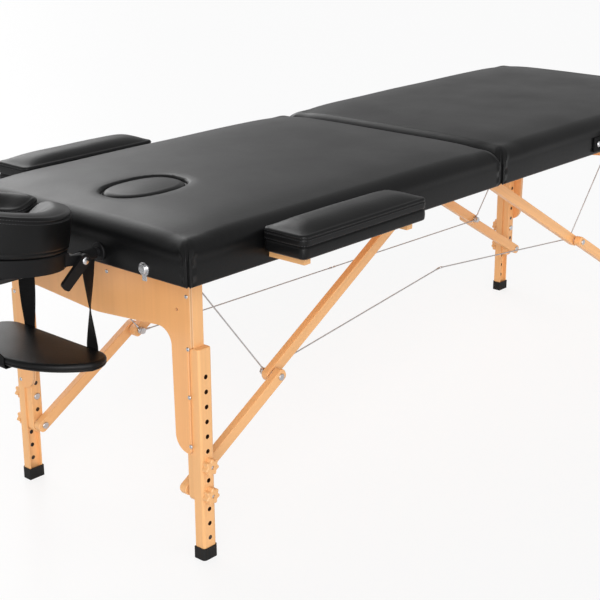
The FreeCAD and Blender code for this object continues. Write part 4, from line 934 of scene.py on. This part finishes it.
origin = place(0.0, 0.0, 0.0)
slings = []
for name, side in sides:
    lane = side * tube_lane
    loop = place(back_x, lane, tube_level) + loop_radius * (
        np.sin(loop_turn) * across - np.cos(loop_turn) * up)
    slings.append(ribbon(loop, ahead, webbing_profile))
    hang = walk([(back_x, lane, tube_foot, 0.0), (back_x, lane, twist_start, 0.0),
                 (back_x, lane, twist_stop, 90.0), (back_x, lane, turn_under, 90.0)], (2, 60, 4))
    twist = np.radians(-side * hang[:, 3:])
    hang_wide = np.cos(twist) * ahead + np.sin(twist) * across
    under = walk([
        (back_x, lane, turn_under), (back_x - edge_in, lane, shelf_foot - edge_down),
        (back_x - bend_in, lane, layers[name]), (front_x + lap, 0.0, layers[name])], (1, 1, 16))
    path = np.r_[hang[:-1, :3], under] * mm + origin
    wide = np.r_[hang_wide[:-1], np.broadcast_to(-across, under.shape)]
    slings.append(ribbon(path, wide, webbing_profile))
front = walk([
    (front_x + tail, 0.0, lowest_layer), (front_x + bend_in, 0.0, lowest_layer), (front_x, 0.0, shelf_foot),
    (front_x, 0.0, shelf_top), (tube_front, 0.0, tube_foot)], (6, 2, 6, 24))
slings.append(ribbon(front * mm + origin, across, webbing_profile))
loop = place(tube_front, 0.0, tube_level) + loop_radius * (np.sin(loop_turn) * ahead - np.cos(loop_turn) * up)
slings.append(ribbon(loop, across, webbing_profile))
sling_piece = new_piece("arm_shelf_slings", joined(slings), webbing, "headrest")
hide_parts("shelf_straps")

# Carry handle
# Doubled webbing strap on the near side, bowed out for the hand and held at both ends by a plated dome-head
# screw.
handle_low, handle_high = np.array(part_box("carry_handle"))
handle_end, handle_slope, handle_bow, handle_back = 38.0 * mm, 30.0 * mm, 22.0 * mm, 3.6 * mm
handle_profile = strap_profile(34.0 * mm, 4.0 * mm)
handle_level = (handle_low[2] + handle_high[2]) / 2.0
handle_x = np.linspace(handle_low[0], handle_high[0], 90)
from_end = np.minimum(handle_x - handle_low[0], handle_high[0] - handle_x)
handle_rise = smooth(np.clip(from_end - handle_end, 0.0, handle_slope) / handle_slope)
handle_y = handle_high[1] - handle_back - handle_rise * handle_bow
handle_path = np.c_[handle_x, handle_y, np.full(handle_x.shape, handle_level)]
handle = new_piece(
    "handle_strap", ribbon(handle_path, up, handle_profile), webbing, "foot_section")
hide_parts("carry_handle")
dome_radii, dome_heights = (0.0, 7.0, 7.0, 6.2, 4.4, 2.2, 0.0), (-1.0, -1.0, 0.6, 2.2, 3.4, 4.0, 4.2)
dome_back = 5.6 * mm
domes = []
for screw_x in (handle_low[0] + handle_end / 2.0, handle_high[0] - handle_end / 2.0):
    spot = np.array((screw_x, handle_high[1] - dome_back, handle_level))
    domes.append(turned(spot, (0.0, -1.0, 0.0), dome_radii, dome_heights))
new_piece("handle_screws", joined(domes), steel, "foot_section")

# Case latch
# Plated turn catch at the head end that holds the folded case shut.
dress(steel, "case_latch")

# Studio
# A plain pale floor, a white surround and broad soft lamps from behind and from the near side.
white = (1.0, 1.0, 1.0, 1.0)
floor_paint, floor_tree, floor_surface = finish(
    "studio_floor", (0.90, 0.90, 0.905), 0.30, Specular_IOR_Level=0.2)
floor_rays = shade(floor_tree, "ShaderNodeLightPath", {})
floor_glow = shade(floor_tree, "ShaderNodeEmission", {"Color": white, "Strength": 1.0})
floor_white = 0.82
floor_share = worked(floor_tree, "MULTIPLY", floor_rays.outputs["Is Camera Ray"], floor_white)
floor_look = shade(floor_tree, "ShaderNodeMixShader", {
    0: floor_share, 1: floor_surface.outputs["BSDF"], 2: floor_glow.outputs["Emission"]})
floor_tree.links.new(floor_look.outputs["Shader"], floor_tree.nodes["Material Output"].inputs["Surface"])
floor_mesh = bpy.data.meshes.new("studio_floor")
floor_reach = 60.0
floor_corners = [(sx * floor_reach, sy * floor_reach, 0.0) for sx, sy in ((-1, -1), (1, -1), (1, 1), (-1, 1))]
floor_mesh.from_pydata(floor_corners, [], [(0, 1, 2, 3)])
floor_mesh.materials.append(floor_paint)
floor = bpy.data.objects.new("studio_floor", floor_mesh)
bpy.context.scene.collection.objects.link(floor)

world = bpy.data.worlds.new("studio_surround")
bpy.context.scene.world = world
world.use_nodes = True
world_tree = world.node_tree
fill = world_tree.nodes["Background"]
fill.inputs["Color"].default_value = white
fill.inputs["Strength"].default_value = 0.5
seen = shade(world_tree, "ShaderNodeBackground", {"Color": white, "Strength": 1.0})
rays = shade(world_tree, "ShaderNodeLightPath", {}).outputs
shown = worked(world_tree, "MAXIMUM", rays["Is Camera Ray"], rays["Is Transmission Ray"])
surround = shade(world_tree, "ShaderNodeMixShader", {
    0: shown, 1: fill.outputs["Background"], 2: seen.outputs["Background"]})
world_tree.links.new(surround.outputs["Shader"], world_tree.nodes["World Output"].inputs["Surface"])


def lamp(name, toward, strength, spread):
    """A broad soft lamp far away, shining along a direction, as wide in the sky as its spread in degrees."""
    data = bpy.data.lights.new(name, "SUN")
    data.energy = strength
    data.angle = math.radians(spread)
    item = bpy.data.objects.new(name, data)
    item.matrix_world = Vector(toward).to_track_quat("-Z", "Y").to_matrix().to_4x4()
    bpy.context.scene.collection.objects.link(item)


lamp("back_softbox", (-0.28, -0.83, -0.45), 1.15, 44.0)
lamp("side_softbox", (0.2, 0.85, -0.55), 0.7, 60.0)
lamp("front_softbox", (0.75, 0.6, -0.32), 1.7, 40.0)

# Camera
# It stands off the near corner of the head end, a little above the table.
camera = bpy.data.cameras.new("camera")
focal, image_centre, image_size = 1406.22, (295.35, 294.08), 600.0
yaw, pitch, roll = math.radians(41.984), math.radians(18.677), math.radians(0.367)
forward = np.array((math.cos(pitch) * math.cos(yaw), math.cos(pitch) * math.sin(yaw), -math.sin(pitch)))
right = np.array((math.sin(yaw), -math.cos(yaw), 0.0))
below = np.cross(forward, right)
image_x = right * math.cos(roll) + below * math.sin(roll)
image_y = below * math.cos(roll) - right * math.sin(roll)
camera.sensor_width = 36.0
camera.lens = camera.sensor_width * focal / image_size
camera.shift_x = (image_size / 2.0 - image_centre[0]) / image_size
camera.shift_y = (image_centre[1] - image_size / 2.0) / image_size
camera.clip_end = 200.0
stand = bpy.data.objects.new("camera", camera)
stand_point = (-2.3065, -1.9375, 1.2997)
pose = np.eye(4)
pose[:3] = np.c_[image_x, -image_y, -forward, stand_point]
stand.matrix_world = Matrix(pose.tolist())
bpy.context.scene.collection.objects.link(stand)
bpy.context.scene.camera = stand
bpy.context.scene.view_settings.view_transform = "Standard"
